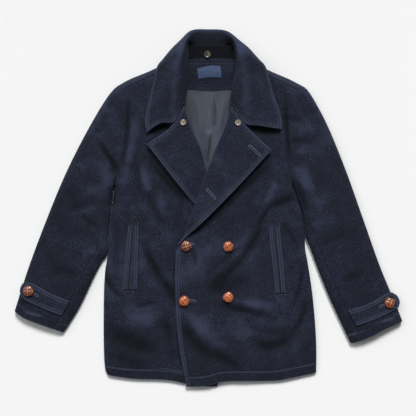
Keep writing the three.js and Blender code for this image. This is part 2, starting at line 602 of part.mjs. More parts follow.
// Cuff tabs: upper and lower edge from the inner end to the rounded outer end
const CUFF_TABS = {
  right: [
    [[-350, -256], [-374, -248], [-404, -235], [-432, -223], [-446, -213]],
    [[-331, -222], [-365, -209], [-391, -196], [-417, -181], [-437, -175]],
    [[-350, -256], [-331, -222]],
    [[-446, -213], [-450, -198], [-446, -184], [-437, -175]],
  ],
  left: [
    [[352, -281], [377, -273], [414, -258], [440, -245], [453, -237]],
    [[332, -245], [377, -230], [408, -214], [428, -203], [438, -201]],
    [[352, -281], [332, -245]],
    [[453, -237], [457, -225], [451, -210], [438, -201]],
  ],
};
for (const side of SIDES) {
  addCloth("cuff_tab_" + side, flatPiece(CUFF_TABS[side], { u: 9, v: 3 },
    (x, y) => clearHeight("sleeve_top_" + side, x, y, 14) + REST + MELTON), MELTON);
}

// Buttons: a dome of woven leather, a small disc of horn
function button(name, x, y, floor, radius, height, material) {
  const profile = [[0, 0], [0.7, 0], [1, 0.38], [0.88, 0.72], [0.5, 0.95], [0, 1]];
  const points = profile.map(([r, z]) => new THREE.Vector2(r * radius, z * height));
  const geometry = new THREE.LatheGeometry(points, 16).rotateX(Math.PI / 2);
  add(name, geometry, material).position.set(x, y, floor + REST);
}
const FRONT_BUTTONS = table("x y", [[-53, -91], [47, -92], [-58, -222], [47, -213]]);
FRONT_BUTTONS.forEach(({ x, y }, i) => {
  const floor = clearHeight("front_left", x, y, 0.85 * BUTTON_RADIUS);
  button("button_front_" + (i + 1), x, y, floor, BUTTON_RADIUS, BUTTON_HEIGHT, leather);
});
const PLACED_BUTTONS = table("name x y panel radius height kind", [
  ["button_cuff_right", -428, -198, "cuff_tab_right", BUTTON_RADIUS, BUTTON_HEIGHT, leather],
  ["button_cuff_left", 431, -226, "cuff_tab_left", BUTTON_RADIUS, BUTTON_HEIGHT, leather],
  ["button_lapel_right", -60, 203, "lapel_right", SMALL_BUTTON_RADIUS, SMALL_BUTTON_HEIGHT, horn],
  ["button_lapel_left", 70, 202, "lapel_left", SMALL_BUTTON_RADIUS, SMALL_BUTTON_HEIGHT, horn],
  ["button_neck", -2.8, 367, "collar_stand", 8, SMALL_BUTTON_HEIGHT, darkHorn],
]);
for (const b of PLACED_BUTTONS) {
  button(b.name, b.x, b.y, clearHeight(b.panel, b.x, b.y, 0.8 * b.radius), b.radius, b.height, b.kind);
}

// The frame's origin: the middle of the coat's box, on the table
const box = new THREE.Box3().setFromObject(coat, true);
coat.position.set(-(box.min.x + box.max.x) / 2, -(box.min.y + box.max.y) / 2, -box.min.z);

export default coat;
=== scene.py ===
# %% [markdown]
# A pea coat of dark navy melton, laid flat on its back and seen from straight above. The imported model
# gives the size and the place of every piece. It is loaded first and never moved. Each plain solid of
# cloth is then replaced by a finer shell that follows the same lines, so both agree from every side.

# %% The frame
import math

import bmesh
import bpy
import numpy as np
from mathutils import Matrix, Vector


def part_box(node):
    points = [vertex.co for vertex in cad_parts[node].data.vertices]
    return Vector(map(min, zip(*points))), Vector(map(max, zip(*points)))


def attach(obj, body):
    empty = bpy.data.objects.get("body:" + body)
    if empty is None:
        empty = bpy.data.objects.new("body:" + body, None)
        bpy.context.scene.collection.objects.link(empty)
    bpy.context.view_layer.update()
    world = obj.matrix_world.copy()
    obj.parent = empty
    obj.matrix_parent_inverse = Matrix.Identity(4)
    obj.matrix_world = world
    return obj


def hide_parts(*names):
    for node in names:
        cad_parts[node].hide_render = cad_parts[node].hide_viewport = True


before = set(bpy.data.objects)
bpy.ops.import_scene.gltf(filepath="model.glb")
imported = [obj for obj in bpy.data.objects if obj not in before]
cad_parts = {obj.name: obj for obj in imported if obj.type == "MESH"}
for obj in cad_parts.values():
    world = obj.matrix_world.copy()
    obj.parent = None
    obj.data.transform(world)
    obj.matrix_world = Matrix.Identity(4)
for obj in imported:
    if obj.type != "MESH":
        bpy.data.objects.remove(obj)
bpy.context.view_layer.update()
BODY = "root"
MM = 0.001

# %% [markdown]
# The photograph looks straight down, and 416 pixels span 998 mm of the table at 2.4 mm a pixel. A long
# lens three metres up keeps the sleeves' outlines where a camera close by would spread them.

# %% Camera
CAMERA_HEIGHT = 3.0
PICTURE_WIDTH = 0.9984
camera = bpy.data.objects.new("camera", bpy.data.cameras.new("camera"))
bpy.context.scene.collection.objects.link(camera)
camera.data.sensor_width = 36
camera.data.lens = camera.data.sensor_width * CAMERA_HEIGHT / PICTURE_WIDTH
camera.location = (-0.0012, 0, CAMERA_HEIGHT)
bpy.context.scene.camera = camera
print("lens", round(camera.data.lens), "mm")

# %% [markdown]
# The light comes on a slant from beyond the collar. It gives every fold a light and a dark side, and the
# lapels and the collar the dark bands below them. A weaker one from the upper left makes the highlights
# on the buttons. Area lamps would do it too, but they leave the corners of the card darker, and these
# two are as far off as the sun.

# %% Light
def lamp(name, place, spread, power):
    """A far lamp that shines the same on the whole table, with shadows as soft as its spread."""
    light = bpy.data.lights.new(name, "SUN")
    light.angle, light.energy = math.radians(spread), power
    made = bpy.data.objects.new(name, light)
    bpy.context.scene.collection.objects.link(made)
    made.location = place
    made.rotation_euler = (-made.location).to_track_quat("-Z", "Y").to_euler()


lamp("key", (0.2, 1.8, 2.0), 20, 3.05)
lamp("fill", (-1.6, 1.0, 1.9), 45, 0.7)
world = bpy.data.worlds.new("studio")
bpy.context.scene.world = world
world.use_nodes = True
world.node_tree.nodes["Background"].inputs["Color"].default_value = (0.96, 0.97, 1, 1)
world.node_tree.nodes["Background"].inputs["Strength"].default_value = 0.18
bpy.context.scene.view_settings.view_transform = "Standard"

# %% [markdown]
# A pattern cutter draws each piece as smooth lines through a few points, so the script does the same.
# `line` is a smooth curve read by the share of its length, and `patch` fills the space between four of
# them. The sizes are the coat's own, in millimetres, with X to the wearer's left.

# %% Lines and patches
def bow(a, b, c, d, t):
    """The curve from b to c at shares t, aimed so that it runs on smoothly from a and towards d."""
    gaps = [np.maximum(np.linalg.norm(q - r, axis=-1, keepdims=True), 1e-4) ** 0.5
            for q, r in ((b, a), (c, b), (d, c))]
    before = ((b - a) / gaps[0] - (c - a) / (gaps[0] + gaps[1]) + (c - b) / gaps[1]) * gaps[1]
    after = ((c - b) / gaps[1] - (d - b) / (gaps[1] + gaps[2]) + (d - c) / gaps[2]) * gaps[1]
    return ((2 * t**3 - 3 * t**2 + 1) * b + (t**3 - 2 * t**2 + t) * before
            + (3 * t**2 - 2 * t**3) * c + (t**3 - t**2) * after)


def run_on(points):
    """Points with one more at each end, straight on."""
    return np.vstack([2 * points[0] - points[1], points, 2 * points[-1] - points[-2]])


def line(points, dense=48):
    """A smooth curve through points, as a function of the share of its length."""
    p = run_on(np.array(points, float))
    t = np.linspace(0, 1, dense, endpoint=False)[:, None]
    way = np.vstack([bow(a, b, c, d, t) for a, b, c, d in zip(p, p[1:], p[2:], p[3:])] + [p[-2:-1]])
    run = np.concatenate([[0], np.cumsum(np.linalg.norm(np.diff(way, axis=0), axis=1))])

    def at(share):
        here = np.clip(np.asarray(share, float), 0, 1) * run[-1]
        return np.stack([np.interp(here, run, way[:, k]) for k in range(way.shape[1])], axis=-1)

    at.length = run[-1]
    return at


def chain(first, second, meet):
    """Two lines one after the other, which meet at a share of the whole."""
    def at(share):
        share = np.asarray(share, float)
        one, two = first(share / meet), second((share - meet) / (1 - meet))
        return np.where((share < meet)[..., None], one, two)
    return at


def mix(a, b, t):
    return a + (b - a) * t


def smooth(low, high, x):
    t = np.clip((x - low) / (high - low), 0, 1)
    return t * t * (3 - 2 * t)


def patch(low, high, start, end):
    """A patch between four edges: u runs along low and high, v along start and end."""
    c00, c10, c01, c11 = low(0), low(1), high(0), high(1)

    def at(u, v):
        u, v = np.broadcast_arrays(np.asarray(u, float), np.asarray(v, float))
        uu, vv = u[..., None], v[..., None]
        corners = mix(mix(c00, c10, uu), mix(c01, c11, uu), vv)
        return mix(low(u), high(u), vv) + mix(start(v), end(v), uu) - corners
    return at


print("a quarter of a circle of 100 mm is", round(line([(100, 0), (71, 71), (0, 100)]).length), "mm by this rule")

# %% [markdown]
# A pattern is drawn before the cloth is cut. Each piece has an outline of a few points, read off the
# photograph at the scale above, and smooth lines join them. Curve objects could hold them too, but plain
# lists are easier to compare and to change. Right and left are the wearer's.

# %% Outlines of the pieces
SIDES = ("right", "left")
OUTWARD = {"right": -1, "left": 1}
OUTLINE = {
    "right": {
        "side": [(-241, -400), (-247, -385), (-250.8, -240), (-247.4, -150), (-242.4, -118),
                 (-239, -70), (-232.2, -5), (-228.3, 27), (-226.5, 50)],
        "armhole": [(-221, 290), (-198, 268), (-191, 218), (-193, 150), (-204, 112), (-226.5, 54)],
        "outer": [(-221, 290), (-239, 269), (-280, 202), (-340, 86), (-388, -29), (-431, -144),
                  (-464, -247)],
        "inner": [(-226.5, 54), (-227.1, 46), (-228.6, 27), (-232.5, -5), (-239.3, -70), (-242.8, -111),
                  (-254.5, -127), (-273.5, -163), (-308, -235), (-347, -298)],
        "cuff": [(-464, -247), (-443, -262), (-414, -274), (-385, -284), (-347, -298)],
    },
    "left": {
        "side": [(258, -394), (258.5, -350), (257, -300), (249, -207), (236.5, -125), (231.6, -98),
                 (231, -65), (227, -32), (221.8, -5), (215, 15.6), (208.4, 36), (204, 50)],
        "armhole": [(232, 288), (200, 264), (188, 232), (184, 166), (189, 100), (204, 54)],
        "outer": [(232, 288), (246, 269), (282, 202), (330, 86), (371, -29), (412, -144), (452, -240),
                  (464, -271)],
        "inner": [(204, 54), (205.2, 47), (208.7, 36), (215.3, 15.6), (222.1, -5), (227.3, -32), (231.6, -65),
                  (244, -98), (257.5, -135), (275, -180), (292, -221), (340, -324)],
        "cuff": [(464, -271), (421, -290), (392, -305), (364, -317), (340, -324)],
    },
}
BACK_HEM = line([(-241, -400), (-184, -405), (-97, -409), (24, -413), (104, -411), (191, -405),
                 (258, -394)])
HEM = {
    "right": line([(-241, -400), (-184, -408), (-97, -412), (-62, -419), (-40, -425), (0, -428),
                   (21, -427.5)]),
    "left": line([(258, -394), (191, -408), (162, -413), (52, -414), (28, -416), (6, -423), (-20, -426.5),
                  (-53, -427.3)]),
}
SHOULDER_LINE = line([(-221, 290), (-191, 307), (-145, 326), (-100, 346), (-52, 358.5), (2, 359), (56, 358.5),
                      (108, 346), (152, 326), (196, 307), (232, 288)])
FRONT_EDGE = {
    "right": ([(21, -427.5), (25, -400), (40, -250), (56, -84), (36, -10)],
              [(36, -10), (-12, 88), (-49, 193), (-67, 245), (-76, 285)]),
    "left": ([(-53, -427.3), (-72, -317), (-80, -180), (-79, -131), (-75, -98), (-60, -79), (-43, -40),
              (-30, 0)],
             [(-30, 0), (3, 87), (47, 196), (62, 245), (74, 285)]),
}
LAPELS = {
    "right": {
        "roll": [(6, 60), (-5, 88), (-19, 142), (-42, 193), (-59, 244)],
        "edge": [(-24, -4), (-35, 10), (-88, 76), (-146, 151)],
        "low": [(6, 60), (-9, 28), (-24, -4)],
        "top": [(-59, 244), (-63, 236), (-72, 218), (-84, 200), (-98, 184), (-125, 165.5), (-146, 151)],
    },
    "left": {
        "roll": [(-74, -87), (-60, -69), (-49, -35), (-22, 39), (17, 142), (40, 196), (54, 244)],
        "edge": [(-70, -88.5), (-57, -73), (-20, -40), (60, 40), (150, 137)],
        "low": [(-74, -87), (-70, -88.5)],
        "top": [(54, 244), (63, 230), (76, 210.5), (88, 196), (120, 164), (150, 137)],
    },
}
LINES = {side: {name: line(rows) for name, rows in OUTLINE[side].items()} for side in SIDES}
print("shoulder line", round(SHOULDER_LINE.length), "mm, sleeves",
      [round(LINES[s]["outer"].length) for s in SIDES], "mm")

# %% [markdown]
# Cloth laid on a table is never flat. It has long soft drag lines from the buttons and pockets, and
# short ones at the armholes. A cloth simulation would put its folds where it likes, and these have their
# places. So each is drawn as a ridge or a trough along a bow through three points, with its own rise and
# width, fading at both ends, as a sculptor would draw it with one stroke. `unrest` adds a gentle
# unevenness everywhere. `painted_folds_and_wear` gives the painted shade of the troughs and the painted light of
# the ridges, with patches of worn tone, and makes the cloth darker towards the hem and the cuffs.

# %% Folds
FOLDS_RIGHT_FRONT = [  # x1, y1, x2, y2, x3, y3, rise, half width
    (-157, -75, -128, -145, -80, -222, -4.2, 9), (-103, -175, -90, -205, -80, -245, -3.2, 9),
    (-248, -145, -233, -190, -200, -218, -3.7, 5), (-246, -280, -180, -326, -98, -335, -4.2, 24),
    (-108, -262, -95, -310, -85, -378, -3.2, 13), (-205, -253, -165, -258, -118, -262, 1.6, 28),
    (-96, -308, -93, -330, -95, -352, 1.6, 14), (-174, -240, -150, -232, -122, -225, -2.1, 5),
    (-235, -342, -200, -367, -140, -375, -2.1, 14), (-160, 112, -150, 60, -138, 28, 2, 10),
    (-172, 128, -170, 70, -164, 20, -2.1, 7), (-152, 42, -130, -5, -104, -52, -2.1, 8),
    (-122, 46, -112, 10, -104, -28, 1, 10), (-176, 215, -184, 140, -212, 30, 1.6, 10),
    (-190, 262, -193, 190, -204, 98, -3.2, 5), (-212, -25, -222, -80, -221, -146, -1.6, 8),
    (-165, -50, -160, -120, -158, -178, 1, 10), (-70, -90, -66, -150, -68, -212, 1.2, 8),
    (-60, 28, -72, -20, -82, -68, -1.6, 8), (-142, 174, -114, 189, -84, 192, -4.2, 12),
]
FOLDS_LEFT_FRONT = [
    (212, 28, 175, 12, 138, -4, -3.4, 10), (152, 4, 130, -25, 116, -70, -3.2, 6),
    (124, -48, 100, -95, 58, -150, -3.7, 9), (80, -118, 45, -160, -12, -200, -3.2, 12),
    (104, -166, 50, -186, -30, -208, -2.9, 18), (92, -88, 50, -115, -10, -172, -2.1, 6),
    (-43, -94, -34, -120, -31, -146, -2.6, 5), (-54, -198, -20, -130, 50, -68, 1.6, 20),
    (104, -44, 85, -80, 55, -116, 1.3, 11), (158, 66, 150, 30, 127, -1, 2, 10),
    (173, -34, 195, -65, 217, -110, -2.3, 6), (160, -40, 166, -120, 177, -198, 1.3, 7),
    (223, -132, 218, -190, 198, -246, -3.4, 5), (229, -215, 222, -270, 190, -305, -3.4, 8),
    (92, -310, 155, -332, 212, -292, -4.2, 14), (12, -230, 90, -248, 168, -271, -3.2, 9),
    (42, -220, 110, -232, 172, -241, 1.4, 11), (-68, -262, -35, -320, 32, -370, -4.2, 15),
    (12, -340, 45, -368, 84, -389, -3.2, 12), (-50, -238, -20, -290, 32, -336, 1.6, 17),
    (52, -288, 85, -301, 112, -288, 1.3, 22), (122, -288, 160, -301, 192, -282, -1.6, 10),
    (251, -282, 240, -330, 208, -354, -1.6, 12), (113, 46, 100, 10, 91, -38, -1.4, 8),
    (132, 66, 120, 30, 110, -6, 0.8, 10), (185, 270, 186, 190, 195, 88, -3.7, 5),
    (172, 209, 192, 212, 222, 204, -1.9, 6), (174, 178, 126, 185, 86, 188, -4.2, 12),
]
FOLDS_SLEEVES = [
    (-266, 166, -242, 125, -222, 94, -3.2, 6), (-234, 124, -226, 100, -221, 80, -3.7, 8),
    (-229, 52, -229, 25, -234, -4, -4.2, 8), (-252, 118, -240, 60, -240, 12, 1, 13),
    (-306, 64, -275, 40, -244, 35, 1, 14), (-342, -8, -300, 5, -260, 17, -1.6, 9),
    (-372, -72, -330, -86, -278, -74, 1.2, 17), (-314, -17, -285, -35, -258, -53, -1.6, 8),
    (-366, -136, -335, -156, -304, -149, -2.3, 14), (-386, -102, -370, -140, -364, -172, -1.6, 10),
    (-264, -98, -285, -110, -306, -113, 1.2, 14), (-348, 68, -325, 30, -308, -14, -1.3, 14),
    (210, 106, 225, 70, 243, 28, 2, 17), (204, 68, 222, 25, 233, -18, -3.7, 8),
    (194, 166, 220, 157, 254, 161, -2.1, 7), (212, 177, 232, 185, 248, 198, 1, 11),
    (201, 129, 220, 135, 239, 127, 1.2, 11), (248, 108, 262, 60, 271, 10, -1.3, 10),
    (236, 33, 255, 15, 280, 9, 1, 11), (234, -17, 265, -30, 306, -42, 0.8, 13),
    (336, -56, 300, -75, 264, -93, -1.6, 9), (356, -107, 320, -120, 284, -133, 0.8, 14),
    (378, -146, 345, -165, 309, -178, -1.6, 10), (399, -187, 375, -200, 344, -206, 0.8, 11),
]
FOLDS = FOLDS_RIGHT_FRONT + FOLDS_LEFT_FRONT + FOLDS_SLEEVES


def segment_gap(x, y, x1, y1, x2, y2):
    """The distance from points to a straight line between two others."""
    along = np.clip(((x - x1) * (x2 - x1) + (y - y1) * (y2 - y1)) / ((x2 - x1) ** 2 + (y2 - y1) ** 2), 0, 1)
    return np.hypot(x - mix(x1, x2, along), y - mix(y1, y2, along))


STROKE_PARTS = 8  # straight parts that a bow is measured by


def strokes(x, y, table):
    """The sum of the ridges and troughs of a table at points."""
    total = np.zeros_like(x)
    share = np.linspace(0, 1, STROKE_PARTS + 1)
    fade = (1 - np.abs(2 * share - 1) ** 3) ** 1.5
    for x1, y1, x2, y2, x3, y3, rise, half in table:
        cx, cy = 2 * x2 - (x1 + x3) / 2, 2 * y2 - (y1 + y3) / 2
        bx = (1 - share) ** 2 * x1 + 2 * share * (1 - share) * cx + share ** 2 * x3
        by = (1 - share) ** 2 * y1 + 2 * share * (1 - share) * cy + share ** 2 * y3
        reach = 3 * half
        near = ((x > bx.min() - reach) & (x < bx.max() + reach)
                & (y > by.min() - reach) & (y < by.max() + reach))
        px, py = x[near], y[near]
        best, strength = np.full(px.shape, 1e9), np.zeros(px.shape)
        for i in range(STROKE_PARTS):
            dx, dy = bx[i + 1] - bx[i], by[i + 1] - by[i]
            along = np.clip(((px - bx[i]) * dx + (py - by[i]) * dy) / (dx * dx + dy * dy), 0, 1)
            gap = np.hypot(px - bx[i] - dx * along, py - by[i] - dy * along)
            closer = gap < best
            best = np.where(closer, gap, best)
            strength = np.where(closer, mix(fade[i], fade[i + 1], along), strength)
        total[near] += rise * strength * np.exp(-((best / half) ** 2))
    return total


def cloud(x, y, size, seed):
    """Smooth unevenness between -1 and 1 with bumps of a size, the same each run."""
    lattice = np.random.default_rng(seed).uniform(-1, 1, (256, 256))
    gx, gy = x / size + 96, y / size + 96
    i, j = np.floor(gx).astype(int), np.floor(gy).astype(int)
    fx, fy = smooth(0, 1, gx - i), smooth(0, 1, gy - j)
    at = lambda a, b: lattice[a % 256, b % 256]
    return mix(mix(at(i, j), at(i + 1, j), fx), mix(at(i, j + 1), at(i + 1, j + 1), fx), fy)


def unrest(x, y):
    return 1.3 * cloud(x, y, 62, 3) + 0.5 * cloud(x, y, 26, 5) + 0.16 * cloud(x, y, 9, 7)


# Painted shade: a trough is painted this much darker, and a ridge paler, for each millimetre of its depth or
# rise.
PAINTED_FOLD_SHADE = 0.1  # how much darker a trough looks for each millimetre of its depth


def painted_folds_and_wear(x, y):
    """How pale or dark the wool is painted at points: painted shade in the troughs, painted light on the ridges,
    worn patches, and darker towards the hem and the cuffs.
    """
    worn = 0.07 * cloud(x, y, 34, 21) + 0.05 * cloud(x, y, 13, 8)
    far = 0.14 * smooth(330, 395, -y) + 0.12 * smooth(250, 370, np.abs(x))
    return PAINTED_FOLD_SHADE * strokes(x, y, FOLDS) + worn - far


def folds(x, y):
    return strokes(x, y, FOLDS) + unrest(x, y)


print("folds", len(FOLDS), "the deepest", min(row[6] for row in FOLDS), "mm")

# %% [markdown]
# A coat that lies flat still has depth: its layers lie on one another, and the chest stands highest. Short
# tables give the height of the body and of a sleeve along their length, and the folds are added to them.
# The right front sinks where the left one covers it, and the left one rises where its lapel begins.

# %% Heights of the body and the sleeves
MELTON, LAPEL, COLLAR, LINING, WELT, LABEL = 2.5, 4.4, 3.4, 1.0, 2.0, 0.8
SEAM, REST = 0.5, 0.8
BODY_SIDE_Z, SLEEVE_SIDE_Z = 6.5, 9.0
SHOULDER_WRAP, ARMPIT_ROLL, ARMPIT_AT = 0.075, 0.07, 0.62
BODY_HEIGHT = [(-430, 10.5), (-330, 13), (-200, 16), (-60, 18), (60, 22), (150, 25), (250, 27.5),
               (330, 28)]
SLEEVE_HEIGHT = [(0, 27), (0.3, 26), (0.6, 24), (0.85, 21), (1, 21.5)]
LEFT_EDGE_X = [(-430, -55), (-320, -72), (-180, -80), (-86, -72), (0, -34), (88, 2), (250, 66)]
FRONT_SEAM = [(0, 0.93), (0.12, 0.95), (0.36, 0.95), (0.46, 0.92), (0.52, 0.87), (0.6, 0.83), (0.75, 0.82),
              (1, 0.81)]


def level(rows, at):
    return np.interp(at, [r[0] for r in rows], [r[1] for r in rows])


def body_top(x, y):
    return level(BODY_HEIGHT, y) + folds(x, y)


def right_top(x, y):
    edge = level(LEFT_EDGE_X, y)
    hidden = smooth(edge - 15, edge + 25, x)
    return level(BODY_HEIGHT, y) + folds(x, y) * (1 - hidden) - 4.5 * hidden


def left_top(x, y):
    lapel_end = 5.6 * (1 - smooth(20, 55, segment_gap(x, y, -8, 75, -34, -4)))
    return body_top(x, y) + 4 * (1 - smooth(75, 160, x)) + lapel_end


FRONT_TOP = {"right": right_top, "left": left_top}
print("heights at the chest", [round(float(f(np.array([s * 90.0]), np.array([60.0]))[0]), 1)
                               for s, f in ((-1, right_top), (1, left_top))])

# %% [markdown]
# One helper makes every cloth piece. It takes a grid of points on the cloth's face and, at each point,
# the way through the cloth. It measures how far each point is from the four edges, rounds the edges
# over, presses in the rows of topstitching, and closes the wall. A Solidify modifier could thicken the
# cloth, but it couldn't round an edge or sink a seam. Three numbers go with each point for its colour:
# how much painted shade it takes in a stitch groove or a painted shadow, how near it is to an edge or a
# stitch ridge that is painted paler, partly as wear and partly as a painted highlight, and how much
# painted light or shade it takes from its slope to the lamp and its folds, with some worn tone.

# %% Shells of cloth
EDGE_STEPS = [0, 0.35, 0.9, 1.7, 2.8, 4.0, 5.0, 5.6, 6.0, 6.4, 7.0, 8.2, 10]
HEM_STEPS = [0, 0.35, 0.9, 1.7, 3.0, 6, 10, 15, 19, 21.4, 22.6, 23.4, 24, 24.6, 25.4, 26.6, 29]
TURN = np.linspace(0, 90, 10)
GRID_STEP, STITCH_DEPTH = 4.5, 0.7
RIM_REACH, GROOVE_HALF, RIDGE_AT, RIDGE_HALF, RIDGE_SHARE = 1.7, 0.95, 2.6, 1.5, 0.45
SLOPE_LIGHT_SHARE, SLOPE_LIGHT_MOST = 0.35, 0.25
shells = {}


def roll_share(angle):
    return 1 - np.cos(np.radians(angle))


def spread(width, near, far, step=GRID_STEP):
    """Shares across rows of these widths: close together by both edges, even between them."""
    width = np.atleast_1d(np.asarray(width, float))[:, None]
    near, far = np.asarray(near, float)[None], np.asarray(far, float)[None, ::-1]
    tight = np.minimum(1, 0.45 * width / max(near.max(), far.max(), 1e-3))
    first, last = near * tight / width, 1 - far * tight / width
    count = max(2, int(round((width.mean() - near.max() - far.max()) / step)))
    middle = mix(first[:, -1:], last[:, :1], np.linspace(0, 1, count + 1)[None, 1:-1])
    return np.hstack([first, middle, last])


def run_along(points, axis):
    """The distance from the first row or column to each point, along the cloth."""
    steps = np.linalg.norm(np.diff(points, axis=axis), axis=2)
    pad = np.zeros_like(np.take(steps, [0], axis=axis))
    return np.concatenate([pad, np.cumsum(steps, axis=axis)], axis=axis)


def turned(plan, angle, side, top, across):
    """Points and inward ways where a wall turns round an edge: -90 on the table, 90 on top."""
    angle = np.broadcast_to(angle, plan.shape[:2])
    sine, cosine = np.sin(np.radians(angle)), np.cos(np.radians(angle))
    z = np.where(sine < 0, side * (1 + sine), mix(side, top, sine))
    flat = across / np.maximum(np.linalg.norm(across, axis=-1, keepdims=True), 1e-6)
    points = np.dstack([plan[..., 0], plan[..., 1], z])
    inward = np.dstack([flat[..., 0] * cosine, flat[..., 1] * cosine, -sine])
    return points, inward


def shell(name, points, inward, thickness, material, rounded=(1, 1, 1, 1), stitches=(), shade=0.0,
          pale=0.0, node=True):
    """A closed wall of cloth. rounded is the radius at the first and last row, first and last column;
    stitches are (edge, distance, strength) with the edges numbered in the same order; shade darkens as
    painted shade, and pale brightens or darkens as painted light and shade, with some worn tone."""
    down, along = run_along(points, 0), run_along(points, 1)
    gaps = [down, down[-1:] - down, along, along[:, -1:] - along]
    full = np.ones(down.shape)
    rim = np.zeros(down.shape)
    # Near a rounded edge the wool is painted paler, partly as wear and partly as a painted highlight on the roll.
    for gap, radius in zip(gaps, rounded):
        if radius > 0:
            full = np.minimum(full, np.sqrt(1 - (1 - np.clip(gap / radius, 0, 1)) ** 2 + 0.012))
            rim = np.maximum(rim, np.exp(-((gap / RIM_REACH) ** 2)) * min(1, radius / 1.6))
    # A stitch groove is sunk and painted dark as its shade; the ridge beside it is raised and painted paler as a
    # highlight.
    groove_shade, ridge = np.zeros(down.shape), np.zeros(down.shape)
    for edge, distance, strength in stitches:
        off = np.abs(gaps[edge] - distance)
        groove_shade = np.maximum(groove_shade, strength * np.exp(-((off / GROOVE_HALF) ** 2)))
        ridge = np.maximum(ridge, strength * np.exp(-(((off - RIDGE_AT) / RIDGE_HALF) ** 2)))
    full = np.clip(full, 0.1, 1)
    face = points + inward * (STITCH_DEPTH * (groove_shade - RIDGE_SHARE * ridge))[..., None]
    # Painted light: a slope that turns towards the lamp beyond the collar is painted paler, one that turns away
    # darker.
    normal = np.cross(np.gradient(points, axis=1), np.gradient(points, axis=0))
    normal *= np.where((normal * inward).sum(-1, keepdims=True) > 0, -1, 1)
    painted_light_and_wear = normal[..., 1] / np.maximum(np.linalg.norm(normal, axis=-1), 1e-9)
    outer = face + inward * (thickness * (1 - full) / 2)[..., None]
    inner = points + inward * (thickness * (1 + full) / 2)[..., None]
    rows, columns = down.shape
    verts = np.concatenate([outer.reshape(-1, 3), inner.reshape(-1, 3)]) * MM
    verts[:, 2] = np.maximum(verts[:, 2], 0)
    index = np.arange(rows * columns).reshape(rows, columns)
    other = index + rows * columns
    quads = [np.stack([index[:-1, :-1], index[:-1, 1:], index[1:, 1:], index[1:, :-1]], -1).reshape(-1, 4),
             np.stack([other[:-1, :-1], other[1:, :-1], other[1:, 1:], other[:-1, 1:]], -1).reshape(-1, 4)]
    for a, b in ((index[0], other[0]), (other[-1], index[-1]), (other[:, 0], index[:, 0]),
                 (index[:, -1], other[:, -1])):
        quads.append(np.stack([a[:-1], b[:-1], b[1:], a[1:]], -1))
    quads = np.concatenate(quads)
    corner = verts[quads]
    volume = np.einsum("ij,ij->i", corner[:, 0], np.cross(corner[:, 1], corner[:, 2])).sum()
    volume += np.einsum("ij,ij->i", corner[:, 0], np.cross(corner[:, 2], corner[:, 3])).sum()
    if volume < 0:
        quads = quads[:, ::-1]
    mesh = bpy.data.meshes.new(name)
    mesh.from_pydata(verts.tolist(), [], quads.tolist())
    mesh.update()
    mesh.shade_smooth()
    # Each point carries its painted shade, its paler edge (partly wear, partly a painted highlight), and its
    # painted light and shade from slope and folds, with worn tone.
    looks = {"groove_shade": np.maximum(groove_shade, shade), "rim": np.maximum(rim, 0.7 * ridge),
             "painted_light_and_wear": SLOPE_LIGHT_SHARE * np.clip(painted_light_and_wear, -1, SLOPE_LIGHT_MOST) + pale}
    for label, values in looks.items():
        data = np.concatenate([values.ravel(), values.ravel() * 0]).astype(np.float32)
        mesh.attributes.new(label, "FLOAT", "POINT").data.foreach_set("value", data)
    made = bpy.data.objects.new("cloth_" + name, mesh)
    bpy.context.scene.collection.objects.link(made)
    mesh.materials.append(material)
    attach(made, BODY)
    if node:
        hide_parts(name)
    shells[name] = {"object": made, "face": face, "inward": inward, "gaps": gaps, "stitches": stitches}
    spans = corner[:, 2] - corner[:, 0], corner[:, 3] - corner[:, 1]
    both_sides = np.linalg.norm(np.cross(*spans), axis=1).sum() / 2
    print(f"{name}: {len(quads) * 2} triangles, {both_sides / 2:.4f} m2 of cloth")


print("rows along an edge", len(EDGE_STEPS), "and along a hem", len(HEM_STEPS))

# %% [markdown]
# Materials come before the pieces, because a shell takes one as it is made. Patterns could be painted as
# pictures, but these are worked out in the object's own space at their true size, so they are sharp from
# any distance. `node` adds a node with its settings and links, `surface` starts a material, `grain` is an
# uneven pattern of a size, `layered_colour` builds a colour up in coats, some of them the stuff's own colour and
# some painted light and shade, and `relief` lifts the surface by the same patterns.

# %% Helpers for the finishes
def linear(code):
    """The linear colour of a hex code as a screen shows it."""
    parts = [int(code[i:i + 2], 16) / 255 for i in (1, 3, 5)]
    return [c / 12.92 if c <= 0.04045 else ((c + 0.055) / 1.055) ** 2.4 for c in parts] + [1]


def node(tree, kind, inputs, **settings):
    """A shader node with its settings; an input is a value, a hex colour or another node's output."""
    made = tree.nodes.new("ShaderNode" + kind)
    for name, value in settings.items():
        setattr(made, name, value)
    for name, value in inputs.items():
        if isinstance(value, bpy.types.NodeSocket):
            tree.links.new(value, made.inputs[name])
        else:
            made.inputs[name].default_value = linear(value) if isinstance(value, str) else value
    return made


def surface(name, **values):
    """A new material: its tree, its shader and the object's own coordinates."""
    made = bpy.data.materials.new(name)
    made.use_nodes = True
    tree = made.node_tree
    shader = tree.nodes["Principled BSDF"]
    for label, value in values.items():
        shader.inputs[label.replace("_", " ")].default_value = value
    return made, tree, shader, node(tree, "TexCoord", {}).outputs["Object"]


def grain(tree, place, size, detail=2.0, rough=0.6, stretch=(1, 1, 1)):
    """Noise whose spots are a size in millimetres."""
    here = node(tree, "Mapping", {"Vector": place, "Scale": stretch}).outputs["Vector"]
    noise = {"Vector": here, "Scale": 1 / (size * MM), "Detail": detail, "Roughness": rough}
    return node(tree, "TexNoise", noise).outputs["Fac"]


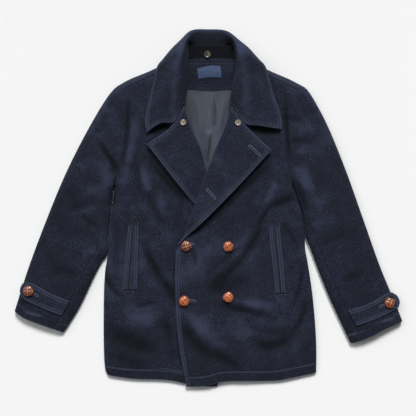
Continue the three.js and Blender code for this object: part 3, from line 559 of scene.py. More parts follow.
def layered_colour(tree, shader, ground, *coats):
    """Colours a shader with a ground and coats (share, low, high, strength, colour): a coat is bare
    where its share is low and covers by its strength where the share is high."""
    colour = ground
    for share, low, high, strength, coat in coats:
        cover = node(tree, "MapRange", {"Value": share, "From Min": low, "From Max": high, "To Max": strength})
        inputs = {0: cover.outputs["Result"], 6: colour, 7: coat}
        colour = node(tree, "Mix", inputs, data_type="RGBA").outputs[2]
    tree.links.new(colour, shader.inputs["Base Color"])
    return colour


def relief(tree, shader, *layers):
    """Bump from layers of (height, depth in millimetres), one on another."""
    for height, depth in layers:
        under = [link.from_socket for link in shader.inputs["Normal"].links]
        inputs = {"Height": height, "Distance": depth * MM, "Strength": 1.0}
        inputs.update({"Normal": socket for socket in under})
        tree.links.new(node(tree, "Bump", inputs).outputs["Normal"], shader.inputs["Normal"])


print("mid grey is", round(linear("#808080")[0], 3), "in linear light")

# %% [markdown]
# Melton is wool milled until it felts. It looks almost black, because its matt fibres swallow the light,
# and blue where they turn to the lamp. So the ground is a dark navy, and the coats over it are fibres in
# clumps, patches of wear and pale specks of lint, and then painted light and shade: paler on slopes that
# face the lamp beyond the collar and on the ridges of the folds, darker on the other slopes and in the
# troughs, paler at the edges and the stitch ridges, partly as wear and partly as a painted highlight,
# and dark as painted shade in the seams and the hollows and under the lapels and the collar. The fibres
# themselves are too fine to show, so they are drawn a hundred times as coarse.

# %% Navy melton
melton, tree, shader, place = surface("navy_melton", Roughness=0.95, Sheen_Weight=0.08, Sheen_Roughness=0.5,
                                      Sheen_Tint=linear("#9AA2BE"), Specular_IOR_Level=0.2)
clumps = grain(tree, place, 4.2, 4, 0.7)
fibres = grain(tree, place, 2.4, 2, 0.6, (1, 0.6, 1))
patches = grain(tree, place, 34, 3, 0.6)
lint = grain(tree, place, 2.6, 0, 0.5)
painted_light_and_wear, rim, groove_shade = [node(tree, "Attribute", {}, attribute_name=name).outputs["Fac"]
                    for name in ("painted_light_and_wear", "rim", "groove_shade")]
# Painted light and shade: the pale and the near-black coat follow each point's slope and folds; the rim coat is
# partly wear and partly a painted highlight; the last coat is painted shade.
layered_colour(tree, shader, "#10131C",
     (clumps, 0.39, 0.63, 1, "#242838"), (fibres, 0.46, 0.64, 0.6, "#2F3549"),
     (patches, 0.38, 0.62, 0.5, "#171923"), (lint, 0.79, 0.83, 0.3, "#6C7180"),
     (painted_light_and_wear, 0, 0.4, 0.8, "#424A63"), (painted_light_and_wear, 0, -0.38, 0.85, "#0A0B12"),
     (rim, 0.2, 0.95, 0.62, "#505A74"), (groove_shade, 0.15, 0.9, 0.9, "#07080C"))
relief(tree, shader, (clumps, 0.5), (fibres, 0.25))
print(melton.name, len(tree.nodes), "nodes")

# %% [markdown]
# The lining is a satin woven in a fine twill. It is smoother than the wool, so it shines softly along its
# folds, and the raised parts of its drape are painted paler too, with painted shade under the collar
# and the lapels and in its pleat. The label is a small cloth woven with cross ribs. A wave texture draws
# both weaves at the spacing of their threads, and a noise under it takes the evenness away.

# %% Lining satin and label weave
TWILL, RIB = 0.9, 0.7  # mm from one thread to the next
WAVE = 2 * math.pi * MM  # a wave texture makes one band every 2 pi of its scale

satin, tree, shader, place = surface("blue_grey_satin", Roughness=0.55, Sheen_Weight=0.15)
# The raised parts of the drape are painted paler, as light along its folds.
drape = grain(tree, place, 45, 2, 0.5, (1, 0.3, 1))
twill = node(tree, "TexWave", {"Vector": place, "Scale": 1 / (TWILL * WAVE), "Distortion": 0.4},
             bands_direction="DIAGONAL").outputs["Fac"]
# Painted shade on the lining: under the collar and the lapels and in the crease of the pleat.
lining_shade = node(tree, "Attribute", {}, attribute_name="groove_shade").outputs["Fac"]
layered_colour(tree, shader, "#1E2530", (drape, 0.35, 0.65, 1, "#37404E"), (twill, 0, 1, 0.15, "#526071"),
     (lining_shade, 0, 1, 0.9, "#0B0C12"))
relief(tree, shader, (drape, 1.2), (twill, 0.05))

label_cloth, tree, shader, place = surface("label_weave", Roughness=0.6, Sheen_Weight=0.1)
rib = node(tree, "TexWave", {"Vector": place, "Scale": 1 / (RIB * WAVE), "Distortion": 0.2},
           bands_direction="Y").outputs["Fac"]
fuzz = grain(tree, place, 6, 3, 0.6)
layered_colour(tree, shader, "#1E3050", (fuzz, 0.3, 0.7, 1, "#2C4266"), (rib, 0, 1, 0.2, "#4A6188"))
relief(tree, shader, (rib, 0.08))
print(satin.name, "and", label_cloth.name)

# %% [markdown]
# The big buttons are chestnut leather, waxed until it shines and worn to tan where a strap stands proud,
# with the gaps between the straps painted dark as their shade. A clear coat over the hide gives the wax.
# The small ones are polished horn, with long cloudy streaks: pale on the lapels and dark brown at the neck.

# %% Waxed leather and horn
PORES = 0.7
leather, tree, shader, place = surface("waxed_leather", Roughness=0.3, Coat_Weight=0.6, Coat_Roughness=0.15)
hide = grain(tree, place, 3.2, 4, 0.65)
pores = node(tree, "TexVoronoi", {"Vector": place, "Scale": 1 / (PORES * MM)}).outputs["Distance"]
tone, proud, gap = [node(tree, "Attribute", {}, attribute_name=name).outputs["Fac"]
                    for name in ("tone", "rim", "groove_shade")]
dark = layered_colour(tree, shader, "#2E0F0A", (hide, 0.3, 0.7, 1, "#6B2A17"))
orange = layered_colour(tree, shader, "#8E3514", (hide, 0.3, 0.7, 1, "#CB6A38"))
# The tan coat is wear on the proud straps; the last coat is painted shade in the gaps between them.
layered_colour(tree, shader, dark, (tone, 0, 1, 1, orange), (proud, 0.3, 1, 0.8, "#D9A06C"),
     (gap, 0.2, 1, 0.9, "#2A0F07"))
relief(tree, shader, (hide, 0.25), (pores, 0.06))


def polished_horn(name, dark, mid, pale):
    made, tree, shader, place = surface(name, Roughness=0.28, Coat_Weight=0.3, Coat_Roughness=0.12)
    streak = grain(tree, place, 5, 4, 0.6, (1, 0.3, 1))
    layered_colour(tree, shader, dark, (streak, 0.3, 0.5, 1, mid), (streak, 0.5, 0.7, 1, pale))
    relief(tree, shader, (streak, 0.1))
    return made


horn = polished_horn("pale_horn", "#5A4F42", "#93887A", "#BDB3A2")
dark_horn = polished_horn("brown_horn", "#1E1A16", "#4A4438", "#837B66")
print(leather.name, horn.name, dark_horn.name)

# %% [markdown]
# Four plain stuffs differ only in colour, roughness and the size of their grain: the waxed thread of the
# seams, a shade paler than the wool, the pale thread of the buttonholes, a near-black stuff laid in the
# slits as their painted shade, and the matt card that the coat lies on. The card is staged, so it isn't
# part of the coat.

# %% Thread, pocketing and card
def plain(name, size, detail, dark, pale, **values):
    """A matt stuff that is dark and pale in specks of a size."""
    made, tree, shader, place = surface(name, **values)
    layered_colour(tree, shader, dark, (grain(tree, place, size, detail, 0.5), 0, 1, 1, pale))
    return made


thread = plain("navy_thread", 0.8, 2, "#2C303F", "#4D5266", Roughness=0.7, Sheen_Weight=0.2)
hole_thread = plain("buttonhole_thread", 0.8, 2, "#4E5870", "#8590A8", Roughness=0.6, Sheen_Weight=0.2)
# A near-black stuff that stands for the shade inside the slits.
slit_shade_black = plain("painted_slit_shade", 0.7, 2, "#050609", "#0E0F15", Roughness=0.95)
card = plain("matt_card", 4, 3, "#EEEEEE", "#F2F2F2", Roughness=0.9)
bpy.ops.mesh.primitive_plane_add(size=8, location=(0, 0, -0.0004))
floor = bpy.context.object
floor.name = "floor"
floor.data.materials.append(card)
print("materials", [m.name for m in bpy.data.materials])

# %% [markdown]
# The back and the two fronts meet at the side seams and along the shoulders. The body's outline is a
# half turn of cloth: the back's edge rolls up from the table and the front's rolls down to it, and the
# seam runs round the middle of that roll.

# %% The back
NECK_SHARE, BACK_ROLL, FRONT_ROLL, SLEEVE_PACE = 0.31, 0.03, 0.05, 2.4
NECK_RISE = 5.0


def armpit_turn(share):
    """The angle of the roll at a share of the armhole: 90 on top, 0 at the armpit."""
    return np.where(share <= 1 - ARMPIT_ROLL, 90,
                    np.degrees(np.arccos(np.clip(1 - (1 - share) / ARMPIT_ROLL, -1, 1))))


def armhole_shares(count):
    """Shares of the armhole from the armpit up to the shoulder seam, close together in the roll."""
    return np.concatenate([1 - ARMPIT_ROLL * roll_share(TURN),
                           np.linspace(1 - ARMPIT_ROLL, SHOULDER_WRAP, count)[1:]])


def body_side(side, lowest):
    arm = LINES[side]["armhole"]
    return chain(LINES[side]["side"], lambda share: arm(mix(1, lowest, share)), ARMPIT_AT)


BACK_PLAN = patch(BACK_HEM, SHOULDER_LINE, body_side("right", 0), body_side("left", 0))


def back_row(share):
    return mix(ARMPIT_AT, 1, 1 - share)


def on_shoulder(x):
    return smooth(66, 86, np.abs(x - 6))


def back_rise(x, y):
    return NECK_RISE * smooth(295, 335, y) * (1 - on_shoulder(x))


def back_grid():
    """The back with its half turn over each shoulder to the seam on top."""
    tilt = TURN[:, None]
    sides = BACK_ROLL * roll_share(TURN)
    middle = np.linspace(BACK_ROLL, 1 - BACK_ROLL, 96)[1:-1]
    u = np.concatenate([sides, middle, 1 - sides[::-1]])[None]
    turn = np.concatenate([TURN, 90 + 0 * middle, TURN[::-1]])[None]
    way = np.where(u < 0.5, 1, -1)
    low = np.concatenate([np.array(HEM_STEPS) / 850, np.linspace(0.04, ARMPIT_AT, 96)[:-1]])[:, None]
    shares = armhole_shares(42)
    v = np.concatenate([low, back_row(shares)[:, None]])
    edge = np.concatenate([0 * low, armpit_turn(shares)[:, None]])
    plan = BACK_PLAN(u, v)
    across = BACK_PLAN(u + 0.01 * way, v) - plan
    angle = -(90 - (90 - turn) * (1 - edge / 90))
    points, inward = turned(plan, angle, BODY_SIDE_Z - SEAM / 2, 0, across)
    wrap = np.linspace(-90, 90, 19)[1:, None]
    share = SHOULDER_WRAP * roll_share(np.abs(wrap))
    shoulder = on_shoulder(BACK_PLAN(u, 1)[..., 0])
    flat = BACK_PLAN(u, mix(back_row(SHOULDER_WRAP), 1, np.linspace(0, 1, 19)[1:, None]))
    over = mix(flat, BACK_PLAN(u, back_row(share)), shoulder[..., None])
    down = BACK_PLAN(u, 0.97) - BACK_PLAN(u, 1)
    top = body_top(over[..., 0], over[..., 1])
    more, more_in = turned(over, mix(-90, wrap, shoulder), BODY_SIDE_Z, top,
                           np.broadcast_to(down, over.shape))
    points, inward = np.vstack([points, more]), np.vstack([inward, more_in])
    points[..., 2] += back_rise(points[..., 0], points[..., 1])
    return points, inward


points, inward = back_grid()
shell("back", points, inward, MELTON, melton, rounded=(1.25, 0.6, 0.6, 0.6), stitches=[(0, 24, 0.5)])

# %% [markdown]
# A front runs from the side seam to its free edge. Its rows are closer by the hem and its columns by
# the free edge, where the stitching is. The left front lies on the right one.

# %% The fronts
def front_grid(side, top):
    seam_share = back_row(SHOULDER_WRAP)

    def seam(share):
        u = np.asarray(share, float) * NECK_SHARE
        return BACK_PLAN(u if side == "right" else 1 - u, seam_share)[..., :2] - [0, SEAM]

    low, high = FRONT_EDGE[side]
    inner = chain(line(low), line(high + [tuple(seam(1.0))]), ARMPIT_AT)
    plan = patch(HEM[side], seam, body_side(side, SHOULDER_WRAP), inner)
    rows = np.concatenate([np.array(HEM_STEPS) / 850, np.linspace(0.04, ARMPIT_AT, 112)[:-1]])
    shares = armhole_shares(48)
    v = np.concatenate([rows, mix(1, ARMPIT_AT, (shares - SHOULDER_WRAP) / (1 - SHOULDER_WRAP))])[:, None]
    edge = np.concatenate([0 * rows, armpit_turn(shares)])[:, None]
    width = np.linalg.norm(plan(1, v) - plan(0, v), axis=-1)[:, 0]
    near = spread(width * (1 - FRONT_ROLL), [0], EDGE_STEPS, 4.2)
    rolls = np.broadcast_to(FRONT_ROLL * roll_share(TURN)[None, :-1], (len(v), len(TURN) - 1))
    u = np.hstack([rolls, mix(FRONT_ROLL, 1, near)])
    turn = np.concatenate([TURN[:-1], 90 + 0 * near[0]])[None]
    at = plan(u, v)
    angle = 90 - (90 - turn) * (1 - edge / 90)
    across = np.broadcast_to([-OUTWARD[side], 0.0], at.shape)
    return turned(at, angle, BODY_SIDE_Z + SEAM / 2, top(at[..., 0], at[..., 1]), across)


# Painted shadows on the fronts: under the collar's ends, under the lapels' free edges and beside the left front's
# edge.
EDGE_SHADOWS = {"right": [(-150, 176, -118, 190, -90, 194, 1, 11), (-70, -84, -82, -170, -71, -268, 0.8, 4),
                         (-76, -250, -70, -330, -57, -408, 1, 5), (-150, 130, -99, 65, -42, 6, 1, 10)],
               "left": [(176, 180, 128, 186, 92, 192, 1, 11), (161, 120, 75, 40, -40, -72, 1, 10)]}
for side in SIDES:
    points, inward = front_grid(side, FRONT_TOP[side])
    shade = 0.95 * np.minimum(1, strokes(points[..., 0], points[..., 1], EDGE_SHADOWS[side]))
    pale = painted_folds_and_wear(points[..., 0], points[..., 1])
    shell("front_" + side, points, inward, MELTON, melton, rounded=(1.25, 0.6, 0.6, 1.25), shade=shade,
          pale=pale, stitches=[(0, 24, 0.9), (3, 6, 1.0)])

# %% [markdown]
# A sleeve has a top piece and an under piece, like a jacket's. The top one wraps round the outer fold
# to a seam behind it. The under one comes round the inner fold to a seam that shows along the front.

# %% The sleeves
FOLD_SEAM = SHOULDER_WRAP + (1 - ARMPIT_ROLL - SHOULDER_WRAP) / 8
HALF_SEAM = SEAM / 2 / 150
ARM_BLEND, ARMPIT_END = 0.18, 0.5
SLEEVE_ROWS = np.concatenate([np.linspace(0, 0.06, 12)[:-1], np.linspace(0.06, 0.955, 128)[:-1],
                              1 - np.array(HEM_STEPS[::-1]) / 640])[:, None]


def sleeve_grid(side, u, v, angle, way):
    """Points of a sleeve at shares across and along it, on the part of its turn that an angle gives."""
    rows = LINES[side]
    joined = patch(rows["armhole"], rows["cuff"], rows["outer"],
                   lambda share: rows["inner"](np.asarray(share) ** SLEEVE_PACE))

    def plan(u, v):
        at = joined(u, v)
        gap = OUTWARD[side] * SEAM * (1 - smooth(ARM_BLEND, ARMPIT_END, v))
        return np.dstack([at[..., 0] + gap, at[..., 1]])

    at = plan(u, v)
    own = level(SLEEVE_HEIGHT, v) * (0.8 + 0.2 * np.sin(np.pi * u)) + folds(at[..., 0], at[..., 1])
    top = mix(body_top(at[..., 0], at[..., 1]), own, smooth(0, ARM_BLEND, v))
    edge = mix(BODY_SIDE_Z, SLEEVE_SIDE_Z, smooth(0, ARM_BLEND, v))
    along = plan(u, np.minimum(v + 0.01, 1)) - plan(u, np.maximum(v - 0.01, 0))
    across = np.dstack([along[..., 1], -along[..., 0]]) * OUTWARD[side] * way
    across /= np.linalg.norm(across, axis=-1, keepdims=True)
    if way < 0:
        across = mix(np.array([OUTWARD[side], 0.0]), across, smooth(0.1, ARMPIT_END, v)[..., None])
    return turned(at, angle, edge, top, across)


for side in SIDES:
    seam = level(FRONT_SEAM, SLEEVE_ROWS)
    wrap = SHOULDER_WRAP * roll_share(TURN)[None]
    rim = 0 * SLEEVE_ROWS
    u = np.hstack([FOLD_SEAM - HALF_SEAM + rim, wrap[:, :0:-1] + rim, wrap + rim,
                   mix(SHOULDER_WRAP, seam - HALF_SEAM, np.linspace(0, 1, 40)[None, 1:])])
    angle = np.concatenate([[-90], -TURN[:0:-1], TURN, np.full(39, 90)])[None]
    points, inward = sleeve_grid(side, u, SLEEVE_ROWS, angle, 1)
    pale = painted_folds_and_wear(points[..., 0], points[..., 1])
    shell("sleeve_top_" + side, points, inward, MELTON, melton, rounded=(0.6, 1.25, 0.6, 0.6), pale=pale,
          stitches=[(1, 19, 0.8)])
    roll = 1 - (seam + HALF_SEAM)
    pit = 1 - ARMPIT_ROLL * roll_share(TURN)[None]
    u = np.hstack([FOLD_SEAM + HALF_SEAM + 0 * seam,
                   mix(FOLD_SEAM, 1 - ARMPIT_ROLL, np.linspace(0, 1, 30)[None, 1:]) + 0 * seam,
                   pit[:, -2::-1] + 0 * seam, 1 - roll * roll_share(TURN)[None, 1:]])
    angle = np.concatenate([np.full(30, -90), -TURN[-2::-1], TURN[1:]])[None]
    points, inward = sleeve_grid(side, u, SLEEVE_ROWS, angle, -1)
    pale = painted_folds_and_wear(points[..., 0], points[..., 1])
    shell("sleeve_under_" + side, points, inward, MELTON, melton, rounded=(0.6, 1.25, 0.6, 0.6), pale=pale,
          stitches=[(1, 19, 0.8)])

# %% [markdown]
# What lies on a panel takes its height from that panel. `floor_of` reads the finished shell's face, so a
# lapel or a pocket lip rests on the folds that are really there. A Shrinkwrap modifier could lay a piece
# on another too, but it would flatten the piece's own thickness.

# %% Heights of finished panels
def floor_of(name, reach=0):
    """A function giving the height of a shell's upper face, or the highest of it within reach."""
    face = shells[name]["face"]
    size = 2.0
    low = face[..., :2].reshape(-1, 2).min(0) - 40
    span = ((face[..., :2].reshape(-1, 2).max(0) + 40 - low) / size).astype(int) + 2
    grid = np.full(span, -1.0)
    rows = [mix(face[:-1, :-1], face[1:, :-1], a) * (1 - b) + mix(face[:-1, 1:], face[1:, 1:], a) * b
            for a in (0, 0.34, 0.67) for b in (0, 0.34, 0.67)]
    for part in rows:
        p = part.reshape(-1, 3)
        cell = ((p[:, :2] - low) / size).round().astype(int)
        np.maximum.at(grid, (cell[:, 0], cell[:, 1]), p[:, 2])
    for _ in range(40):
        empty = grid < 0
        if not empty.any():
            break
        wide = np.pad(grid, 1, mode="edge")
        near = np.stack([wide[1 + i:1 + i + span[0], 1 + j:1 + j + span[1]]
                         for i, j in ((-1, 0), (1, 0), (0, -1), (0, 1))])
        known = near >= 0
        fill = np.where(known, near, 0).sum(0) / np.maximum(known.sum(0), 1)
        grid = np.where(empty & known.any(0), fill, grid)
    steps = int(round(reach / size))
    if steps:
        wide = np.pad(grid, steps, mode="edge")
        grid = np.max([wide[i:i + span[0], j:j + span[1]] for i in range(0, 2 * steps + 1, 2)
                       for j in range(0, 2 * steps + 1, 2)], axis=0)
        for _ in range(3):
            wide = np.pad(grid, 1, mode="edge")
            grid = np.mean([wide[i:i + span[0], j:j + span[1]] for i in range(3) for j in range(3)], axis=0)

    def at(x, y):
        gx = np.clip((np.asarray(x) - low[0]) / size, 0, span[0] - 1.001)
        gy = np.clip((np.asarray(y) - low[1]) / size, 0, span[1] - 1.001)
        i, j = np.floor(gx).astype(int), np.floor(gy).astype(int)
        low_row = mix(grid[i, j], grid[i + 1, j], gx - i)
        return mix(low_row, mix(grid[i, j + 1], grid[i + 1, j + 1], gx - i), gy - j)
    return at


# %% [markdown]
# A lapel is the front's own edge turned out and pressed. It is two layers with canvas between, so it
# rolls in a soft round on the roll line and its outer edge stands a few millimetres off the front. That
# gap throws the shadow that outlines it.

# %% The lapels
LAPEL_ROLL, LAPEL_EDGE_RISE, ROLL_HANG = 5.0, 9.0, 1.2
SEAM_STEPS = [0, 0.5, 1.2, 2.2, 3.5, 5, 6, 7, 9]


def lapel_grid(side):
    """Rows from the low end of a lapel up to the seam with the collar, columns from its fold out."""
    lines_of = {name: line(rows) for name, rows in LAPELS[side].items()}
    plan = patch(lines_of["low"], lines_of["top"], lines_of["roll"], lines_of["edge"])
    length = lines_of["roll"].length
    v = spread([length], SEAM_STEPS, SEAM_STEPS, 3.2)[0][:, None]
    width = np.linalg.norm(plan(1, v) - plan(0, v), axis=-1)[:, 0]
    fold = np.minimum(LAPEL_ROLL / width, 0.5)[:, None]
    flat = spread(width * (1 - fold[:, 0]), [0], EDGE_STEPS, 3.4)
    u = np.hstack([fold * roll_share(TURN)[None, :-1], mix(fold, 1, flat)])
    turn = np.concatenate([TURN[:-1], 90 + 0 * flat[0]])[None]
    at = plan(u, v)
    x, y = at[..., 0], at[..., 1]
    below = floor_of("front_" + side, 6)(x, y)
    low, high = (0.05, 0.4) if side == "right" else (0, 0.25)
    wave = 0.7 * cloud(x, y, 38, 11) + 0.35 * cloud(x, y, 15, 13)
    lift = LAPEL_EDGE_RISE * smooth(low, high, v) * u ** 1.6
    face = below + REST + LAPEL + lift + wave * smooth(0, 0.15, v)
    return turned(at, turn, below - ROLL_HANG, face, np.broadcast_to(plan(1, v) - plan(0, v), at.shape))


for side in SIDES:
    points, inward = lapel_grid(side)
    shell("lapel_" + side, points, inward, LAPEL, melton, rounded=(2.0, 1.6, 0.8, 2.1),
          stitches=[(3, 6, 1.0), (1, 6, 0.8)])

# %% [markdown]
# The collar stands up round the neck and turns over. Each row of the table is a section across it: the
# neck edge, the top of the roll, the middle of the leaf and the free edge. Behind the neck the leaf
# lies under the coat, so only the roll shows there.

# %% The collar
COLLAR_SECTIONS = [  # neck edge, roll, upper and lower part of the leaf, free edge: x y z of each
    (-57, 246, 26, -61, 246, 33, -82, 203.5, 36, -113, 200.5, 39, -147.5, 179, 38),
    (-55, 258, 22, -63, 259, 38, -84, 232, 40, -110, 223, 40, -150.5, 202, 36),
    (-51, 280, 17, -66, 284, 43, -88, 267, 43.5, -110, 256, 42, -147, 234, 35),
    (-48, 304, 14, -67, 310, 47, -88, 302, 46, -107, 287, 43, -141.5, 258, 34),
    (-47, 335, 12, -66.5, 343, 51, -84, 340, 48, -101, 331, 43, -130.5, 299, 36),
    (-47, 366, 11, -61, 371, 49, -79, 369, 47, -96, 362, 42, -121.5, 338, 33),
    (-46, 388.5, 11, -52, 398, 40, -70, 394, 32, -84, 384, 20, -102, 354, 3.5),
    (-30, 388.5, 10.5, -34, 421, 20, -42, 424, 14, -48, 416, 8, -62, 352, 0),
    (0, 388.5, 10, -1, 421, 15, -1, 427.6, 10.5, -1, 424, 4, 2, 348, 0),
    (34, 388.5, 10.5, 37, 420, 20, 44, 423, 14, 50, 415, 8, 66, 352, 0),
    (56, 388.5, 11, 60, 398, 40, 76, 395, 32, 91, 386, 20, 110, 354, 3.5),
    (61, 366, 11, 69, 371, 49, 88, 370, 47, 106, 362, 42, 134, 339, 33),
    (61, 335, 12, 71.5, 343, 51, 90, 341, 48, 109, 332, 43, 145, 305, 37),
    (57, 304, 14, 68, 308, 47, 90, 302, 46, 113, 290, 43, 156, 267, 34),
    (54, 280, 17, 63, 285, 43, 87, 274, 44, 114, 260, 42, 166, 240, 35),
    (51, 258, 22, 58, 259, 38, 84, 232, 40, 114, 222, 40, 174.5, 205, 36),
    (50, 246, 26, 55, 246, 33, 86, 200.5, 36, 122, 194.5, 39, 172.5, 187, 38),
]


def collar_grid():
    """Rows from the right end of the collar to the left one, columns from the neck edge outwards."""
    across = spread([150], [0, 1, 2, 3.5], EDGE_STEPS, 3.2)[0]
    sections = np.array([line(np.reshape(row, (5, 3)))(across) for row in COLLAR_SECTIONS])
    share = spread([820], SEAM_STEPS, SEAM_STEPS, 4.2)[0]
    knots = np.linspace(0, 1, len(COLLAR_SECTIONS))
    grid = np.stack([smooth_rows(sections[:, j], knots, share) for j in range(len(across))], axis=1)
    grid[..., 2] = np.maximum(grid[..., 2], 0)
    x, y = grid[..., 0], grid[..., 1]
    lifted = smooth(8, 30, grid[..., 2]) * smooth(0.1, 0.35, across)[None]
    grid[..., 2] += lifted * (1.0 * cloud(x, y, 40, 17) + 0.45 * cloud(x, y, 16, 19))
    down, out = np.gradient(grid, axis=0), np.gradient(grid, axis=1)
    inward = np.cross(out, down)
    return grid, inward / np.linalg.norm(inward, axis=-1, keepdims=True)


def smooth_rows(points, knots, share):
    """A smooth curve through points, one to a knot, read at shares between the first and the last."""
    p = run_on(points)
    place = np.clip(share * (len(knots) - 1), 0, len(knots) - 1 - 1e-9)
    i, t = np.floor(place).astype(int), (place - np.floor(place))[:, None]
    return bow(p[i], p[i + 1], p[i + 2], p[i + 3], t)


points, inward = collar_grid()
across = run_along(points, 1)
across /= across[:, -1:]
# Painted highlight along the crest of the roll, and painted shade on its inner face towards the neck edge.
pale = 0.12 * np.exp(-(((across - 0.4) / 0.1) ** 2)) - 0.15 * smooth(0.25, 0, across)
shell("collar", points, inward, COLLAR, melton, rounded=(1.2, 1.2, 0.8, 1.7), pale=pale,
      stitches=[(3, 6, 1.0), (0, 6, 0.8), (1, 6, 0.8)])

# %% [markdown]
# Inside the neck are the band of the collar, the facing and the lining of the back, and a woven label.
# The lining has a pleat down its middle, for room across the shoulder blades. All four lie nearly flat,
# so one function lays them between their edges.

# %% Inside the neck
LINING_GAP = 0.6
BAND = COLLAR - LINING_GAP
FACING = MELTON / 2
PLEATS = [(6, 281, 13, 220, 6, 203, 3.5, 5), (3, 186, 0, 160, -4, 113, 3, 5),
          (-30, 270, -22, 215, -12, 170, 2, 7), (38, 270, 30, 215, 20, 170, 2, 7)]


def flat_grid(edges, height, step=3.0, near=(0,), far=(0,)):
    """A flat piece between its low, high, start and end edges, at a height that a function gives."""
    sides = [line(e) for e in edges]
    plan = patch(*sides)
    u = spread([max(sides[0].length, sides[1].length)], near, far, step)
    v = spread([max(sides[2].length, sides[3].length)], near, far, step)[0][:, None]
    at = plan(u, v)
    points = np.dstack([at[..., 0], at[..., 1], height(at[..., 0], at[..., 1])])
    return points, np.broadcast_to([0.0, 0.0, -1.0], points.shape)


def band_top(x, y):
    return 7.2 + 0.08 * (y - 359) + 1.5 * smooth(30, 55, np.abs(x - 7)) + BAND


def facing_top(x, y):
    return MELTON + NECK_RISE * smooth(288, 328, y) + LINING_GAP + FACING


def label_top(x, y):
    return facing_top(x, y) + LINING_GAP + LABEL


def lining_top(x, y):
    return MELTON + LINING_GAP + LINING + strokes(x, y, PLEATS)


NECK_PIECES = [
    ("collar_stand", [[(-50, 357.6), (7, 358.6), (63, 357.6)], [(-48, 389), (7, 389), (59, 389)],
                      [(-50, 357.6), (-48, 389)], [(63, 357.6), (59, 389)]], band_top, BAND, melton),
    ("back_neck_facing", [[(-54, 283), (0, 280), (55, 282)], [(-54, 357.4), (7, 358.4), (60, 357.4)],
                          [(-54, 283), (-54, 357.4)], [(55, 282), (60, 357.4)]], facing_top, FACING, melton),
    ("label", [[(-24.6, 308.4), (3.6, 312.5), (31.2, 312)], [(-27, 333.6), (7.2, 340.5), (28.8, 339)],
               [(-24.6, 308.4), (-27, 333.6)], [(31.2, 312), (28.8, 339)]], label_top, LABEL, label_cloth),
    ("lining_back", [[(-30, 52), (0, 46), (30, 52)],
                     [(-72, 281.5), (-43, 282.2), (0, 279.2), (42, 281.2), (74, 281.5)],
                     [(-30, 52), (-55, 160), (-72, 281.5)], [(30, 52), (56, 160), (74, 281.5)]],
     lining_top, LINING, satin),
]
LINING_SHADOWS = [(-72, 290, -66, 262, -50, 230, 0.9, 13), (70, 290, 62, 240, 48, 190, 0.8, 8),
                  (-50, 235, -40, 160, -18, 80, 0.7, 8), (-66, 289, 0, 284, 70, 290, 0.8, 6),
                  (8, 292, 13, 240, 8, 205, 0.9, 3), (2, 198, 1, 150, -4, 92, 0.9, 3)]
for name, edges, height, thickness, material in NECK_PIECES:
    points, inward = flat_grid(edges, height, near=(0, 0.3, 0.8, 1.5), far=(0, 0.3, 0.8, 1.5))
    # The collar stand lies deep inside the collar, so it is painted dark all over as its shade.
    shade = 1.0 if name == "collar_stand" else 0.0
    if name == "lining_back":
        shade = np.minimum(1, strokes(points[..., 0], points[..., 1], LINING_SHADOWS))
    shell(name, points, inward, thickness, material, rounded=[thickness / 2] * 4, shade=shade)

# %% [markdown]
# Each pocket is a slit between two lips of cloth, and each cuff has a tab with a rounded end. They are
# sewn onto the coat with the same edge stitch.

# %% Pocket lips and cuff tabs
WELTS = [  # name, side, the slit's two ends, then the far corners
    ("pocket_right_outer", "right", (-181, -43), (-192.5, -194), (-191, -40), (-206, -195)),
    ("pocket_right_inner", "right", (-178, -43), (-188.5, -194), (-167, -40), (-170, -194)),
    ("pocket_left_inner", "left", (156.5, -46), (170.5, -203), (143, -44), (160, -205)),
    ("pocket_left_outer", "left", (159.5, -46), (174.5, -203), (170, -44), (184, -203)),
]
TABS = {
    "right": [[(-350, -256), (-374, -248), (-404, -235), (-432, -223), (-446, -213)],
              [(-331, -222), (-365, -209), (-391, -196), (-417, -181), (-437, -175)],
              [(-350, -256), (-331, -222)], [(-446, -213), (-450, -198), (-446, -184), (-437, -175)]],
    "left": [[(352, -281), (377, -273), (414, -258), (440, -245), (453, -237)],
             [(332, -245), (377, -230), (408, -214), (428, -203), (438, -201)],
             [(352, -281), (332, -245)], [(453, -237), (457, -225), (451, -210), (438, -201)]],
}
for name, side, a, b, c, d in WELTS:
    on = floor_of("front_" + side, 4)
    points, inward = flat_grid([[a, c], [b, d], [a, b], [c, d]], lambda x, y: on(x, y) + REST + WELT,
                               step=1.6, near=(0, 0.4, 1.0), far=(0, 0.4, 1.0, 2.0))
    # The lips are painted a little paler all over, as painted light on the raised cloth.
    shell(name, points, inward, WELT, melton, rounded=(1, 1, 1, 1), stitches=[(3, 4.5, 0.9)], pale=0.05)
# Near-black sheets laid in the pocket slits, under the lips, as the painted shade of the openings.
SLITS = {"right": [(-181.8, -41.5), (-193.2, -195.5), (-177.2, -41.5), (-187.8, -195.5)],
         "left": [(155.7, -44.5), (169.8, -204.5), (160.3, -44.5), (175.2, -204.5)]}
for side, (a, b, c, d) in SLITS.items():
    on = floor_of("front_" + side, 4)
    points, inward = flat_grid([[a, c], [b, d], [a, b], [c, d]], lambda x, y: on(x, y) + 1.0, step=1.6)
    shell("pocket_slit_shade_" + side, points, inward, 0.6, slit_shade_black, rounded=[0.3] * 4, node=False)
for side in SIDES:
    on = floor_of("sleeve_top_" + side, 8)
    points, inward = flat_grid(TABS[side], lambda x, y: on(x, y) + REST + MELTON, step=2.2,
                               near=EDGE_STEPS, far=EDGE_STEPS)
    shell("cuff_tab_" + side, points, inward, MELTON, melton, rounded=(1.25, 1.25, 0.6, 1.25),
          stitches=[(0, 5.5, 1.0), (1, 5.5, 1.0), (3, 5.5, 1.0)])

# %% [markdown]
# Every cloth piece states, as it is made, how many triangles it has and its own area of cloth.

# %% [markdown]
# The six big buttons are woven from leather straps, like a football. Each is a sphere pressed to the
# packed button's size. Two strap edges cross on it, a little off its middle, and each edge is worn to
# tan beside a gap that is painted dark as its shade. No two are alike: the turn, the crossing and the
# tone follow the photograph.

